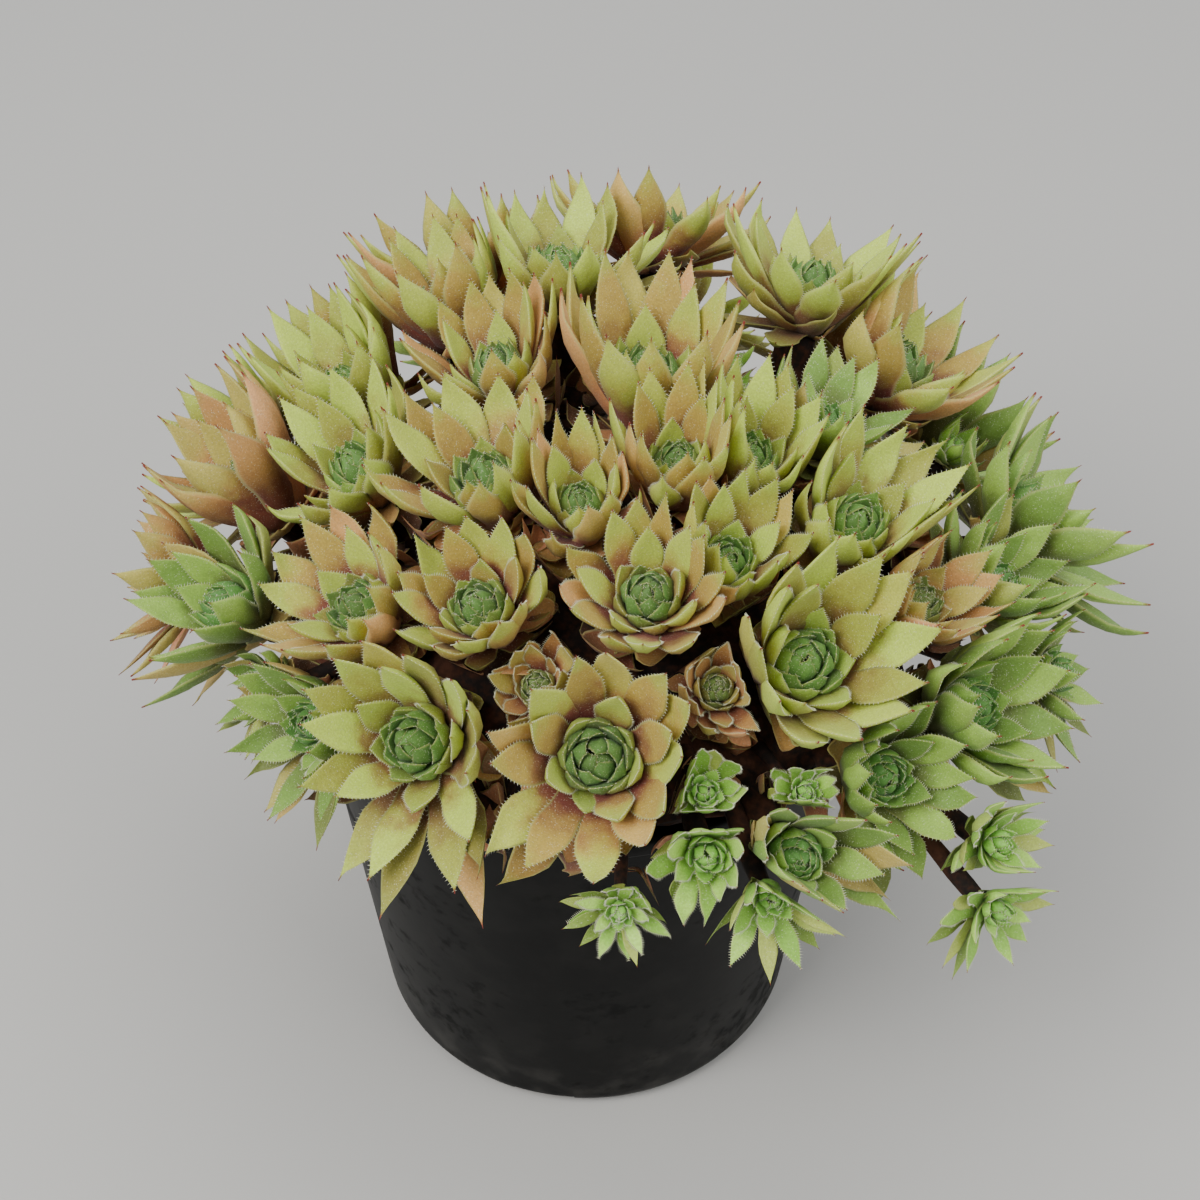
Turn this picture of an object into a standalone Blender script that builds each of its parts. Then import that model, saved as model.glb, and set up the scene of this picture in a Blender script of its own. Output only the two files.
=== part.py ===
"""Hens and chicks in a nursery pot.

A domed clump of rosettes grows from one woody rootstock in the soil of a tapered black pot.
The origin is the centre of the pot's underside, +Z is up and -Y is the front. Sizes are metres.
"""

import math

import bmesh
import bpy
import numpy as np
from mathutils import Matrix, Vector

MM = 0.001
WELD = 0.02 * MM
FINE_WELD = 0.001 * MM

# Pot: a tapered shell with a rolled rim and six drain notches round its bottom corner
POT_HEIGHT = 155 * MM
POT_TOP_RADIUS = 82.5 * MM
POT_BASE_RADIUS = 68 * MM
POT_WALL = 1.6 * MM
POT_FLOOR = 2.5 * MM
CORNER_RADIUS = 7 * MM
RIM_OUT = 3.4 * MM
RIM_DROP = 6 * MM
RIM_TUBE = 2.0 * MM
ROUND_STEPS = 32
NOTCHES = 6
NOTCH_WIDTH = 20 * MM
NOTCH_HEIGHT = 5 * MM
NOTCH_FIRST = -102.0

# Soil: fills the pot to below the rim, with one plain hole for the root
GAP = 0.3 * MM
SOIL_DEPTH = 12 * MM
SOIL_CORNER = 1 * MM
ROOT_RADIUS = 7 * MM
ROOT_LENGTH = 70 * MM
ROOT_SIDES = 6
ROOT_TAPER = (0.5, 0.9)
ROOT_STUB = 2 * MM
ROOT_HEAD = 5 * MM

# Mound: the rosettes' hearts stand on half an ellipsoid, set a little to the right of the pot
DOME_CENTRE = Vector((13, 3, 140)) * MM
DOME_RADII = Vector((121, 112, 85)) * MM
CROWN_TOP = 198 * MM
CROWN_RADIUS = 86 * MM
CROWN_SIDES = 14
CROWN_SLIDE = 6 * MM
NECK_GAP = 9 * MM
KEEP_OUT = Vector((93, 87, 62)) * MM
STEM_SIDES = 3
STEM_WIDTH = 0.13
STEM_SINK = 9 * MM
STEM_BEND = 0.25
STEM_TAPER = 0.9
STEM_JOINT = (0.5, 0.3)
ARM_REACH = 0.6
CROWN_SHIFT = 0.8
OVER_RIM = POT_HEIGHT + 17 * MM
STRAIGHT_ABOVE = POT_HEIGHT + 8 * MM

# Rosette: leaves follow the golden angle from the outermost, 0, to the heart
GOLDEN_ANGLE = math.radians(137.508)
HEN_TURNS = 40
CHICK_TURNS = 26
HEN_LEAVES = (0, 1, 2, 3, 4, 5, 6, 8)
CHICK_LEAVES = (0, 1, 2, 3, 4)
HEART_HEIGHT = 0.42
HEART_LEAN = 0.85
SIDE_HINT = Vector((0.3, -1.0, 0.2))
CORE_SIDES = 6
CORE_PARTS = ((0.0, 0.14, 0.15, 0.18), (0.14, 0.42, 0.18, 0.03))
LEAF_STATIONS = (0.0, 0.62, 1.0)
LEAF_HALF_WIDTHS = (0.30, 1.0, 0.0)
LEAF_DEPTHS = (0.7, 1.0, 0.0)
LEAF_WIDTH = 0.165
LEAF_DEPTH = 0.075
MIN_DEPTH = 0.9 * MM
LEAF_SHRINK = 0.12
WIDTH_SHRINK = 0.45
ROOT_OUT = 0.13
ROOT_CLOSE = 0.75
ROOT_HEIGHT = 0.06
ROOT_CLIMB = 0.16
CURL_FIRST = 12.0
CURL_MORE = 70.0
LINE_STEPS = 24
LEAN_STEP = math.radians(5)
LEAN_LEAST = math.radians(14)
LEAN_EXTRA = 8.0
LEAN_FALL = 1.05
LEAN_HEART = 0.1
LEAN_BEHIND = ((8, 0.08), (13, 0.14))
WOBBLE = 0.07
WOBBLE_RATES = (2.4, 1.7)

# Neighbours: each rosette keeps to its own side of a plane between it and the next one
PLANE_SOFT = 5 * MM
PLANE_MARGIN = 1.6 * MM
PLANE_PRESS = 3.0 * MM
PLANE_HARD = 0.3 * MM
PRESS_ROUNDS = 3
CLEAR_ROUNDS = 8
NEIGHBOUR_REACH = 110 * MM
RIM_CLEAR = 3.5 * MM

# Each rosette: name, azimuth and tilt on the dome in degrees, distance out as a share of the
# dome's radius, leaf length in mm, how far the outer leaves open in degrees, and its finish
ROSETTES = (
    ("hen_01", 264, 53, 1.00, 44, 88, "blush"),
    ("hen_02", 235, 58, 1.00, 42, 70, "olive"),
    ("hen_03", 303, 43, 1.00, 46, 68, "olive"),
    ("hen_04", 274, 28, 1.00, 37, 58, "blush"),
    ("hen_05", 232, 35, 0.98, 36, 55, "blush"),
    ("hen_06", 210, 46, 1.00, 38, 60, "blush"),
    ("hen_07", 196, 20, 1.00, 42, 60, "blush"),
    ("hen_08", 79, 15, 1.02, 50, 60, "blush"),
    ("hen_09", 147, 49, 1.10, 44, 60, "olive"),
    ("hen_10", 38, 49, 1.14, 46, 62, "blush"),
    ("hen_11", 340, 33, 1.00, 41, 60, "olive"),
    ("hen_12", 317, 8, 1.00, 37, 50, "blush"),
    ("hen_13", 166, 60, 1.11, 47, 52, "tan"),
    ("hen_14", 177, 72, 1.17, 33, 70, "tan"),
    ("hen_15", 190, 65, 1.08, 38, 68, "green"),
    ("hen_16", 125, 40, 1.20, 42, 58, "blush"),
    ("hen_17", 114, 54, 1.30, 42, 56, "blush"),
    ("hen_18", 104, 34, 1.24, 42, 58, "olive"),
    ("hen_19", 86, 50, 1.36, 42, 58, "blush"),
    ("hen_20", 56, 42, 1.26, 42, 60, "olive"),
    ("hen_21", 20, 29, 1.00, 31, 52, "green"),
    ("hen_22", 10, 67, 1.12, 47, 66, "green"),
    ("hen_23", 350, 59, 1.02, 35, 70, "green"),
    ("hen_24", 332, 47, 1.00, 34, 62, "tan"),
    ("hen_25", 326, 65, 1.03, 41, 76, "green"),
    ("hen_26", 240, 14, 0.98, 35, 50, "blush"),
    ("hen_27", 350, 16, 1.00, 36, 50, "olive"),
    ("hen_28", 300, 25, 0.98, 34, 50, "olive"),
    ("hen_29", 307, 66, 1.00, 34, 76, "green"),
    ("hen_30", 290, 70, 1.08, 34, 80, "green"),
    ("hen_31", 155, 68, 1.15, 42, 70, "olive"),
    ("hen_32", 133, 64, 1.15, 42, 66, "blush"),
    ("hen_33", 108, 74, 1.24, 38, 72, "green"),
    ("hen_34", 58, 70, 1.20, 40, 70, "olive"),
    ("hen_35", 36, 74, 1.12, 42, 72, "green"),
    ("hen_36", 84, 76, 1.26, 38, 76, "olive"),
    ("hen_37", 217, 66, 1.00, 30, 78, "green"),
    ("hen_38", 173, 40, 1.02, 38, 60, "olive"),
    ("hen_39", 135, 25, 1.06, 38, 60, "blush"),
    ("hen_40", 251, 44, 0.94, 23, 64, "tan"),
    ("hen_41", 286, 44, 0.94, 23, 64, "tan"),
    ("chick_01", 64, 26, 0.98, 20, 60, "fresh"),
    ("chick_02", 48, 22, 0.96, 18, 60, "fresh"),
    ("chick_03", 25, 61, 1.04, 18, 62, "fresh"),
    ("chick_04", 294, 62, 1.02, 15, 66, "fresh"),
    ("chick_05", 280, 59, 1.00, 18, 66, "fresh"),
    ("chick_06", 279, 68, 1.05, 23, 72, "fresh"),
    ("chick_07", 286, 75, 1.10, 21, 76, "fresh"),
    ("chick_08", 268, 77, 1.06, 14, 76, "fresh"),
    ("chick_09", 202, 71, 1.00, 20, 76, "green"),
    ("chick_10", 343, 74, 1.10, 25, 76, "green"),
    ("shoot_01", 315, 80, 1.17, 20, 70, "fresh"),
    ("shoot_02", 311, 87, 1.24, 19, 70, "fresh"),
)

# Finishes: base colour, roughness
FINISHES = {
    "pot": ((0.012, 0.012, 0.013), 0.45),
    "soil": ((0.06, 0.035, 0.02), 0.95),
    "rootstock": ((0.11, 0.05, 0.03), 0.85),
    "blush": ((0.42, 0.30, 0.13), 0.55),
    "olive": ((0.38, 0.40, 0.12), 0.55),
    "green": ((0.20, 0.36, 0.10), 0.50),
    "tan": ((0.50, 0.30, 0.17), 0.60),
    "fresh": ((0.25, 0.50, 0.12), 0.50),
}


def clear_scene():
    """Remove every object that the open scene starts with."""
    for item in list(bpy.data.objects):
        bpy.data.objects.remove(item, do_unlink=True)


def make_collection(name):
    """Return a new collection linked to the scene."""
    group = bpy.data.collections.new(name)
    bpy.context.scene.collection.children.link(group)
    return group


def make_material(name):
    """Return the Principled material of one finish."""
    colour, roughness = FINISHES[name]
    material = bpy.data.materials.new(name)
    material.use_nodes = True
    shader = material.node_tree.nodes["Principled BSDF"]
    shader.inputs["Base Color"].default_value = (*colour, 1.0)
    shader.inputs["Roughness"].default_value = roughness
    return material


def mesh_object(name, bm, group):
    """Turn a bmesh into an object in a collection."""
    mesh = bpy.data.meshes.new(name)
    bm.to_mesh(mesh)
    bm.free()
    item = bpy.data.objects.new(name, mesh)
    group.objects.link(item)
    return item


def applied(item, group):
    """Replace an object by a plain mesh of what its modifiers make."""
    graph = bpy.context.evaluated_depsgraph_get()
    mesh = bpy.data.meshes.new_from_object(item.evaluated_get(graph))
    name = item.name
    bpy.data.objects.remove(item, do_unlink=True)
    result = bpy.data.objects.new(name, mesh)
    group.objects.link(result)
    return result


def turned(name, profile, group, steps=ROUND_STEPS):
    """Turn a profile of (radius, height) points, top to bottom on its outer side, about Z."""
    bm = bmesh.new()
    points = [bm.verts.new((radius, 0.0, height)) for radius, height in profile]
    for first, second in zip(points, points[1:]):
        if first.co.x > 0.0 or second.co.x > 0.0:
            bm.edges.new((first, second))
    if profile[0][0] > 0.0:
        bm.edges.new((points[-1], points[0]))
    item = mesh_object(name, bm, group)
    screw = item.modifiers.new("turn", "SCREW")
    screw.steps = steps
    screw.render_steps = steps
    screw.use_merge_vertices = True
    screw.merge_threshold = WELD
    screw.use_normal_calculate = False
    return applied(item, group)


def arc(centre, radius, start, end, count):
    """Return points on an arc of the profile plane, from one angle to another in degrees."""
    angles = np.radians(np.linspace(start, end, count))
    return [(centre[0] + radius * math.cos(a), centre[1] + radius * math.sin(a)) for a in angles]


def wall_radius(height):
    """Return the outer radius of the pot's wall at a height."""
    return POT_BASE_RADIUS + (POT_TOP_RADIUS - POT_BASE_RADIUS) * height / POT_HEIGHT


def build_pot(group, cutters):
    """Make the pot: a turned shell with the drain notches cut through its bottom corner."""
    rim_centre = (POT_TOP_RADIUS + RIM_OUT - RIM_TUBE, POT_HEIGHT - RIM_TUBE)
    corner = (POT_BASE_RADIUS - CORNER_RADIUS, CORNER_RADIUS)
    inner_corner = CORNER_RADIUS - POT_WALL
    profile = arc(rim_centre, RIM_TUBE, 90, 0, 3)
    profile += [(POT_TOP_RADIUS + RIM_OUT, POT_HEIGHT - RIM_DROP)]
    profile += [(wall_radius(POT_HEIGHT - RIM_DROP), POT_HEIGHT - RIM_DROP)]
    profile += arc(corner, CORNER_RADIUS, 0, -90, 4)
    profile += [(0.0, 0.0), (0.0, POT_FLOOR)]
    profile += [(corner[0], POT_FLOOR)]
    profile += arc(corner, inner_corner, -60, 0, 3)
    profile += [(POT_TOP_RADIUS - POT_WALL, POT_HEIGHT - RIM_TUBE)]
    pot = turned("pot", profile, group)
    for index in range(NOTCHES):
        angle = math.radians(NOTCH_FIRST + index * 360.0 / NOTCHES)
        bpy.ops.mesh.primitive_cube_add(size=1.0)
        cutter = bpy.context.object
        cutter.name = f"notch_cutter_{index}"
        cutter.scale = (4 * CORNER_RADIUS, NOTCH_WIDTH, 2 * NOTCH_HEIGHT)
        place = (POT_BASE_RADIUS + CORNER_RADIUS, 0.0, 0.0)
        cutter.matrix_world = Matrix.Rotation(angle, 4, "Z") @ Matrix.Translation(place) @ Matrix.Diagonal(
            (*cutter.scale, 1.0))
        for owner in list(cutter.users_collection):
            owner.objects.unlink(cutter)
        cutters.objects.link(cutter)
        cutter.hide_render = True
        cutter.display_type = "WIRE"
        cut = pot.modifiers.new(f"notch_{index}", "BOOLEAN")
        cut.operation = "DIFFERENCE"
        cut.object = cutter
    return pot


def build_soil(group):
    """Make the soil: a turned plug inside the pot, with a plain hole for the root."""
    top = POT_HEIGHT - SOIL_DEPTH
    foot = POT_FLOOR + GAP
    corner = CORNER_RADIUS + SOIL_CORNER
    hole = top - ROOT_LENGTH
    wide = wall_radius(top) - POT_WALL - 2 * GAP
    low = POT_BASE_RADIUS - POT_WALL - 2 * GAP
    profile = [(wide, top), (low, corner), (low - corner, foot), (0.0, foot), (0.0, hole)]
    profile += [(ROOT_RADIUS + GAP, hole), (ROOT_RADIUS + GAP, top)]
    return turned("soil", profile, group)


def dome_point(azimuth, tilt, out):
    """Return the heart's place on the dome."""
    azimuth, tilt = math.radians(azimuth), math.radians(tilt)
    ray = Vector((math.sin(tilt) * math.cos(azimuth), math.sin(tilt) * math.sin(azimuth), math.cos(tilt)))
    return DOME_CENTRE + Vector(r * d * out for r, d in zip(DOME_RADII, ray))


def dome_normal(point):
    """Return the dome's outward direction at a point, leant back a little towards the sky."""
    offset = point - DOME_CENTRE
    normal = Vector(o / (r * r) for o, r in zip(offset, DOME_RADII)).normalized()
    return normal.slerp(Vector((0, 0, 1)), 1.0 - HEART_LEAN)


class Rosette:
    """One rosette's place, axis, leaf sizes and the planes that it keeps behind."""

    def __init__(self, index, row):
        """Read one row of the table."""
        self.name, azimuth, tilt, out, leaf, spread, self.finish = row
        self.index = index
        self.leaf = leaf * MM
        self.spread = math.radians(spread + LEAN_EXTRA)
        self.heart = dome_point(azimuth, tilt, out)
        self.axis = dome_normal(self.heart)
        self.base = self.heart - self.axis * HEART_HEIGHT * self.leaf
        self.side = self.axis.cross(SIDE_HINT).normalized()
        self.front = self.axis.cross(self.side)
        self.is_hen = self.name.startswith("hen")
        self.turns = HEN_TURNS if self.is_hen else CHICK_TURNS
        self.planes = []
        self.leans = []

    def find_planes(self, others):
        """Set a plane between this rosette and each near one, nearer to the smaller of the two."""
        for other in others:
            gap = other.heart - self.heart
            if other is self or gap.length > NEIGHBOUR_REACH:
                continue
            share = self.leaf / (self.leaf + other.leaf)
            self.planes.append((self.heart + gap * share, gap.normalized()))

    def wobble(self, turn):
        """Return how far one leaf strays from the rule, from -1 to 1."""
        return math.sin(WOBBLE_RATES[0] * turn + WOBBLE_RATES[1] * self.index)

    def leaf_frame(self, turn):
        """Return one leaf's age, outward direction, root, length and half width."""
        u = turn / (self.turns - 1)
        wobble = self.wobble(turn)
        around = turn * GOLDEN_ANGLE + self.index
        out = self.side * math.cos(around) + self.front * math.sin(around)
        length = self.leaf * (1.0 - LEAF_SHRINK * u) * (1.0 + WOBBLE * wobble)
        root = self.base + out * (ROOT_OUT * self.leaf * (1.0 - ROOT_CLOSE * u))
        root = root + self.axis * self.leaf * (ROOT_HEIGHT + ROOT_CLIMB * u)
        return u, out, root, length, self.leaf * LEAF_WIDTH * (1.0 - WIDTH_SHRINK * u)

    def centre_line(self, turn, lean):
        """Return one leaf's centre line, which curls in from its root, and the way it faces."""
        u, out, root, length, _ = self.leaf_frame(turn)
        curl = math.radians(CURL_FIRST + CURL_MORE * u)
        points = [root]
        for step in range(LINE_STEPS):
            angle = lean + curl * (0.5 - (step + 0.5) / LINE_STEPS)
            ahead = out * math.sin(angle) + self.axis * math.cos(angle)
            points.append(points[-1] + ahead * (length / LINE_STEPS))
        angles = [lean + curl * (0.5 - step / LINE_STEPS) for step in range(LINE_STEPS + 1)]
        faces = [self.axis * math.sin(angle) - out * math.cos(angle) for angle in angles]
        return points, faces

    def find_leans(self):
        """Lean each leaf out until it meets a neighbour's plane or the older leaf behind it."""
        for turn in range(self.turns):
            u, out, _, _, half = self.leaf_frame(turn)
            wobble = self.wobble(turn)
            lean = self.spread * (1.0 - u) ** LEAN_FALL + LEAN_HEART * (wobble * (1.0 - u) + 1.0)
            for back, step in LEAN_BEHIND:
                if turn >= back:
                    lean = min(lean, self.leans[turn - back] - step)
            across = self.axis.cross(out)
            while lean > LEAN_LEAST:
                points, _ = self.centre_line(turn, lean)
                widest = points[round(LEAF_STATIONS[1] * LINE_STEPS)]
                tests = (points[-1], widest + across * half, widest - across * half)
                if all(self.depth(point) < PLANE_PRESS for point in tests):
                    break
                lean -= LEAN_STEP
            self.leans.append(max(lean, LEAN_LEAST * (1.0 - u)))

    def depth(self, point):
        """Return how far a point is past the nearest plane, negative on this rosette's own side."""
        return max((point - place).dot(normal) for place, normal in self.planes)

    def held(self, point, margin, soft):
        """Press a point back behind every plane, off the woody crown and out of the pot's rim."""
        for _ in range(PRESS_ROUNDS):
            for place, normal in self.planes:
                depth = (point - place).dot(normal)
                if depth > -soft:
                    room = soft - margin
                    kept = -margin - room * math.exp(-(depth + soft) / room)
                    point = point + normal * (kept - depth)
        return point

    def cleared(self, point):
        """Push a point out of the crown and the pot, then finally behind every plane."""
        for _ in range(CLEAR_ROUNDS):
            offset = point - DOME_CENTRE
            size = math.sqrt(sum((o / k) ** 2 for o, k in zip(offset, KEEP_OUT)))
            if size < 1.0:
                point = DOME_CENTRE + offset / max(size, 0.01)
            across = Vector((point.x, point.y, 0.0))
            rim = POT_TOP_RADIUS + RIM_OUT + RIM_CLEAR
            if point.z < POT_HEIGHT + RIM_CLEAR and across.length < rim:
                across = across.normalized() * rim
                point = Vector((across.x, across.y, point.z))
            for place, normal in self.planes:
                depth = (point - place).dot(normal)
                if depth > -PLANE_HARD:
                    point = point - normal * (depth + PLANE_HARD)
        return point

    def leaf_mesh(self, turn, group):
        """Loft one leaf through three-sided sections to its pointed tip."""
        _, out, _, _, half = self.leaf_frame(turn)
        points, faces = self.centre_line(turn, self.leans[turn])
        across = self.axis.cross(out)
        depth = max(self.leaf * LEAF_DEPTH, MIN_DEPTH)
        bm = bmesh.new()
        rings = []
        for station, width, thick in zip(LEAF_STATIONS, LEAF_HALF_WIDTHS, LEAF_DEPTHS):
            at = round(station * (len(points) - 1))
            middle = points[at]
            if width == 0.0:
                corners = [self.held(middle, PLANE_MARGIN, PLANE_SOFT)]
            else:
                rim_left = self.held(middle + across * half * width, PLANE_MARGIN, PLANE_SOFT)
                rim_right = self.held(middle - across * half * width, PLANE_MARGIN, PLANE_SOFT)
                back = self.held(middle, PLANE_MARGIN, PLANE_SOFT) - faces[at] * depth * thick
                corners = [rim_left, rim_right, back]
            if station > 0.0:
                corners = [self.cleared(corner) for corner in corners]
            rings.append([bm.verts.new(corner) for corner in corners])
        first, second, tip = rings
        bm.faces.new(first)
        for near, far in ((0, 1), (1, 2), (2, 0)):
            bm.faces.new((first[near], first[far], second[far], second[near]))
            bm.faces.new((second[near], second[far], tip[0]))
        bmesh.ops.triangulate(bm, faces=bm.faces[:])
        bmesh.ops.recalc_face_normals(bm, faces=bm.faces[:])
        return mesh_object(f"{self.name}_leaf_{turn}", bm, group)

    def core(self, group):
        """Make the short stem that the leaves grow from, with a flat foot."""
        bm = bmesh.new()
        for low, high, wide, narrow in CORE_PARTS:
            height = (high - low) * self.leaf
            shift = Matrix.Translation((0, 0, low * self.leaf + height / 2))
            bmesh.ops.create_cone(bm, cap_ends=True, segments=CORE_SIDES, radius1=wide * self.leaf,
                                  radius2=narrow * self.leaf, depth=height, matrix=shift)
        bmesh.ops.remove_doubles(bm, verts=bm.verts[:], dist=WELD)
        inside = [f for f in bm.faces if len(f.verts) == CORE_SIDES
                  and abs(f.calc_center_median().z - CORE_PARTS[0][1] * self.leaf) < WELD]
        bmesh.ops.delete(bm, geom=inside, context="FACES_ONLY")
        frame = Matrix((self.side, self.front, self.axis)).transposed().to_4x4()
        bm.transform(Matrix.Translation(self.base) @ frame)
        bmesh.ops.recalc_face_normals(bm, faces=bm.faces[:])
        return mesh_object(self.name, bm, group)

    def build(self, group):
        """Join the leaves and the core in one closed body."""
        item = self.core(group)
        leaves = make_collection(f"{self.name}_leaves")
        for turn in HEN_LEAVES if self.is_hen else CHICK_LEAVES:
            self.leaf_mesh(turn, leaves)
        return joined(item, leaves, group)


def joined(item, extras, group):
    """Unite an object with a collection's objects, then remove the collection."""
    union = item.modifiers.new("union", "BOOLEAN")
    union.operation = "UNION"
    union.operand_type = "COLLECTION"
    union.collection = extras
    union.solver = "MANIFOLD"
    result = applied(item, group)
    for extra in list(extras.objects):
        bpy.data.objects.remove(extra, do_unlink=True)
    bpy.data.collections.remove(extras)
    keep_largest_body(result)
    return result


def keep_largest_body(item):
    """Weld a joined mesh and drop any loose scrap that the union leaves."""
    bm = bmesh.new()
    bm.from_mesh(item.data)
    bmesh.ops.remove_doubles(bm, verts=bm.verts[:], dist=FINE_WELD)
    bmesh.ops.triangulate(bm, faces=bm.faces[:])
    left = set(bm.faces)
    bodies = []
    while left:
        body, waiting = set(), [left.pop()]
        while waiting:
            face = waiting.pop()
            body.add(face)
            for edge in face.edges:
                for other in edge.link_faces:
                    if other in left:
                        left.discard(other)
                        waiting.append(other)
        bodies.append(body)
    bodies.sort(key=len, reverse=True)
    scraps = [face for body in bodies[1:] for face in body]
    if scraps:
        bmesh.ops.delete(bm, geom=scraps, context="FACES")
    bm.to_mesh(item.data)
    bm.free()


def stem_mesh(name, start, end, wide, narrow, sides, group):
    """Make one tapered stem between two points."""
    bm = bmesh.new()
    reach = end - start
    turn = reach.to_track_quat("Z", "Y").to_matrix().to_4x4()
    place = Matrix.Translation((start + end) / 2) @ turn
    bmesh.ops.create_cone(bm, cap_ends=True, segments=sides, radius1=wide, radius2=narrow,
                          depth=reach.length, matrix=place)
    return mesh_object(name, bm, group)


def build_rootstock(rosettes, group):
    """Make the woody crown with its root in the soil and a stem to each rosette."""
    soil_top = POT_HEIGHT - SOIL_DEPTH + GAP
    neck = POT_TOP_RADIUS - POT_WALL - NECK_GAP
    profile = [(0.0, CROWN_TOP), (32 * MM, CROWN_TOP - 4 * MM), (60 * MM, CROWN_TOP - 14 * MM),
               (80 * MM, CROWN_TOP - 27 * MM), (CROWN_RADIUS, POT_HEIGHT + 7 * MM),
               (CROWN_RADIUS - 4 * MM, POT_HEIGHT + 2 * MM), (neck, POT_HEIGHT + 1 * MM),
               (neck - 2 * MM, soil_top), (0.0, soil_top)]
    crown = turned("rootstock", profile, group, steps=CROWN_SIDES)
    for vertex in crown.data.vertices:
        rise = min(max((vertex.co.z - POT_HEIGHT - MM) / CROWN_SLIDE, 0.0), 1.0)
        vertex.co.x += DOME_CENTRE.x * rise * CROWN_SHIFT
        vertex.co.y += DOME_CENTRE.y * rise * CROWN_SHIFT
    stems = make_collection("stems")
    root_foot = Vector((0, 0, POT_HEIGHT - SOIL_DEPTH - ROOT_LENGTH + ROOT_STUB))
    narrow, wide = (share * ROOT_RADIUS for share in ROOT_TAPER)
    stem_mesh("root", root_foot, Vector((0, 0, soil_top + ROOT_HEAD)), narrow, wide, ROOT_SIDES, stems)
    for plant in rosettes:
        width = STEM_WIDTH * plant.leaf
        top = plant.base - plant.axis * GAP
        foot = top - plant.axis * (STEM_SINK + (top - crown_nearest(top)).length)
        if foot.z < STRAIGHT_ABOVE:
            knee = top - plant.axis * STEM_BEND * plant.leaf
            foot = DOME_CENTRE.lerp(knee, ARM_REACH)
            foot.z = OVER_RIM
            arm = (foot - knee).normalized() * STEM_JOINT[0] * width
            thin = STEM_TAPER * width
            stem_mesh(f"arm_{plant.name}", foot, knee - arm, thin, thin, STEM_SIDES, stems)
            foot = knee - plant.axis * STEM_JOINT[1] * width
        stem_mesh(f"stem_{plant.name}", foot, top, STEM_TAPER * width, width, STEM_SIDES, stems)
    return joined(crown, stems, group)


def crown_nearest(point):
    """Return where the line from a point to the mound's middle meets the woody crown."""
    offset = point - DOME_CENTRE
    radii = Vector((CROWN_RADIUS, CROWN_RADIUS, CROWN_TOP - DOME_CENTRE.z))
    size = math.sqrt(sum((o / r) ** 2 for o, r in zip(offset, radii)))
    return DOME_CENTRE + offset / max(size, 1.0)


def main():
    """Build the pot, the soil, the rootstock and every rosette."""
    clear_scene()
    group = make_collection("hens_and_chicks")
    cutters = make_collection("cutters")
    finishes = {name: make_material(name) for name in FINISHES}
    rosettes = [Rosette(index, row) for index, row in enumerate(ROSETTES)]
    for plant in rosettes:
        plant.find_planes(rosettes)
        plant.find_leans()
    pieces = [(build_pot(group, cutters), "pot"), (build_soil(group), "soil")]
    pieces.append((build_rootstock(rosettes, group), "rootstock"))
    for plant in rosettes:
        pieces.append((plant.build(group), plant.finish))
    for item, finish in pieces:
        item.data.materials.clear()
        item.data.materials.append(finishes[finish])


main()
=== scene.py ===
"""The looks of the hens and chicks in their nursery pot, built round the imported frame.

Each rosette grows by the rule that its solid follows: leaves at the golden angle, each leaning
out until it meets a neighbour's plane or the older leaf behind it. Lengths are metres.
"""

from __future__ import annotations

import logging
from dataclasses import dataclass, field, replace
from enum import Enum

import bpy
import numpy as np
from mathutils import Matrix, Vector


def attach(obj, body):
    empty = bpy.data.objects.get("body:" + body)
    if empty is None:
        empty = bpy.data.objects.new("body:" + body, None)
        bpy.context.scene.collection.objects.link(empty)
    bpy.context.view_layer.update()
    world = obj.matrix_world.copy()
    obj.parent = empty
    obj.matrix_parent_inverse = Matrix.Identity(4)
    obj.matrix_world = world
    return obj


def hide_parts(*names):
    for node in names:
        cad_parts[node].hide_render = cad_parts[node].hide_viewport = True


LOG = logging.getLogger("hens_and_chicks")
Colour = tuple[int, int, int]
MM = 0.001
TINY = 1e-9
GOLDEN_ANGLE = np.radians(137.508)
UP = np.array([0.0, 0.0, 1.0])
SIDE_HINT = np.array([0.3, -1.0, 0.2])

# Values at each point: along and across the leaf, its age and its tint. Hairs have their own across
VALUES = ("along", "across", "age", "tint")
NO_VALUES = (0.0, 0.0, 0.0, 0.0)
CORE_VALUES = (0.2, 0.0, 1.0, 0.5)
HAIR_ACROSS = 2.0
NO_QUADS = np.zeros((0, 4), int)
NO_TRIANGLES = np.zeros((0, 3), int)
PYRAMID = np.array([[0, 1, 3], [1, 2, 3], [2, 0, 3], [0, 2, 1]])

# The stem inside a rosette: heights and radii as shares of the leaf's length
CORE = ((0.0, 0.12), (0.02, 0.14), (0.08, 0.17), (0.14, 0.18), (0.20, 0.14), (0.26, 0.08), (0.29, 0.03))
CORE_TOP = 0.30

# Scatter that is the same each run: the rate by leaf and the shift by rosette of a sine
WOBBLE = (2.4, 1.7)
TINT = (12.9898, 78.233)
SKIRT_TURN = (5.1, 1.0)
SKIRT_LEAN = (3.3, 1.0)
SKIRT_TINT = (9.7, 31.0)
HAIR_SWAY = (7.0, 1.0)

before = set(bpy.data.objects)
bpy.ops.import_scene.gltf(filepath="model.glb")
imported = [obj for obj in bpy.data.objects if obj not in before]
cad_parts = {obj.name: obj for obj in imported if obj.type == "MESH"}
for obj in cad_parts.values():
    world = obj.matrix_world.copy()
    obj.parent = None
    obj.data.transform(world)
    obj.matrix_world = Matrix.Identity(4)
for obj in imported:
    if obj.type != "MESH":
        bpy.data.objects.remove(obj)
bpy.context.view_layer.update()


class Kind(Enum):
    """The two sizes of rosette: how many leaves each one has grown."""

    HEN = 40
    CHICK = 26


@dataclass(frozen=True)
class Grid:
    """How finely a leaf is made: its rings, the points of each and the hairs on an edge."""

    rings: int
    sides: int
    hairs: int


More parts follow.
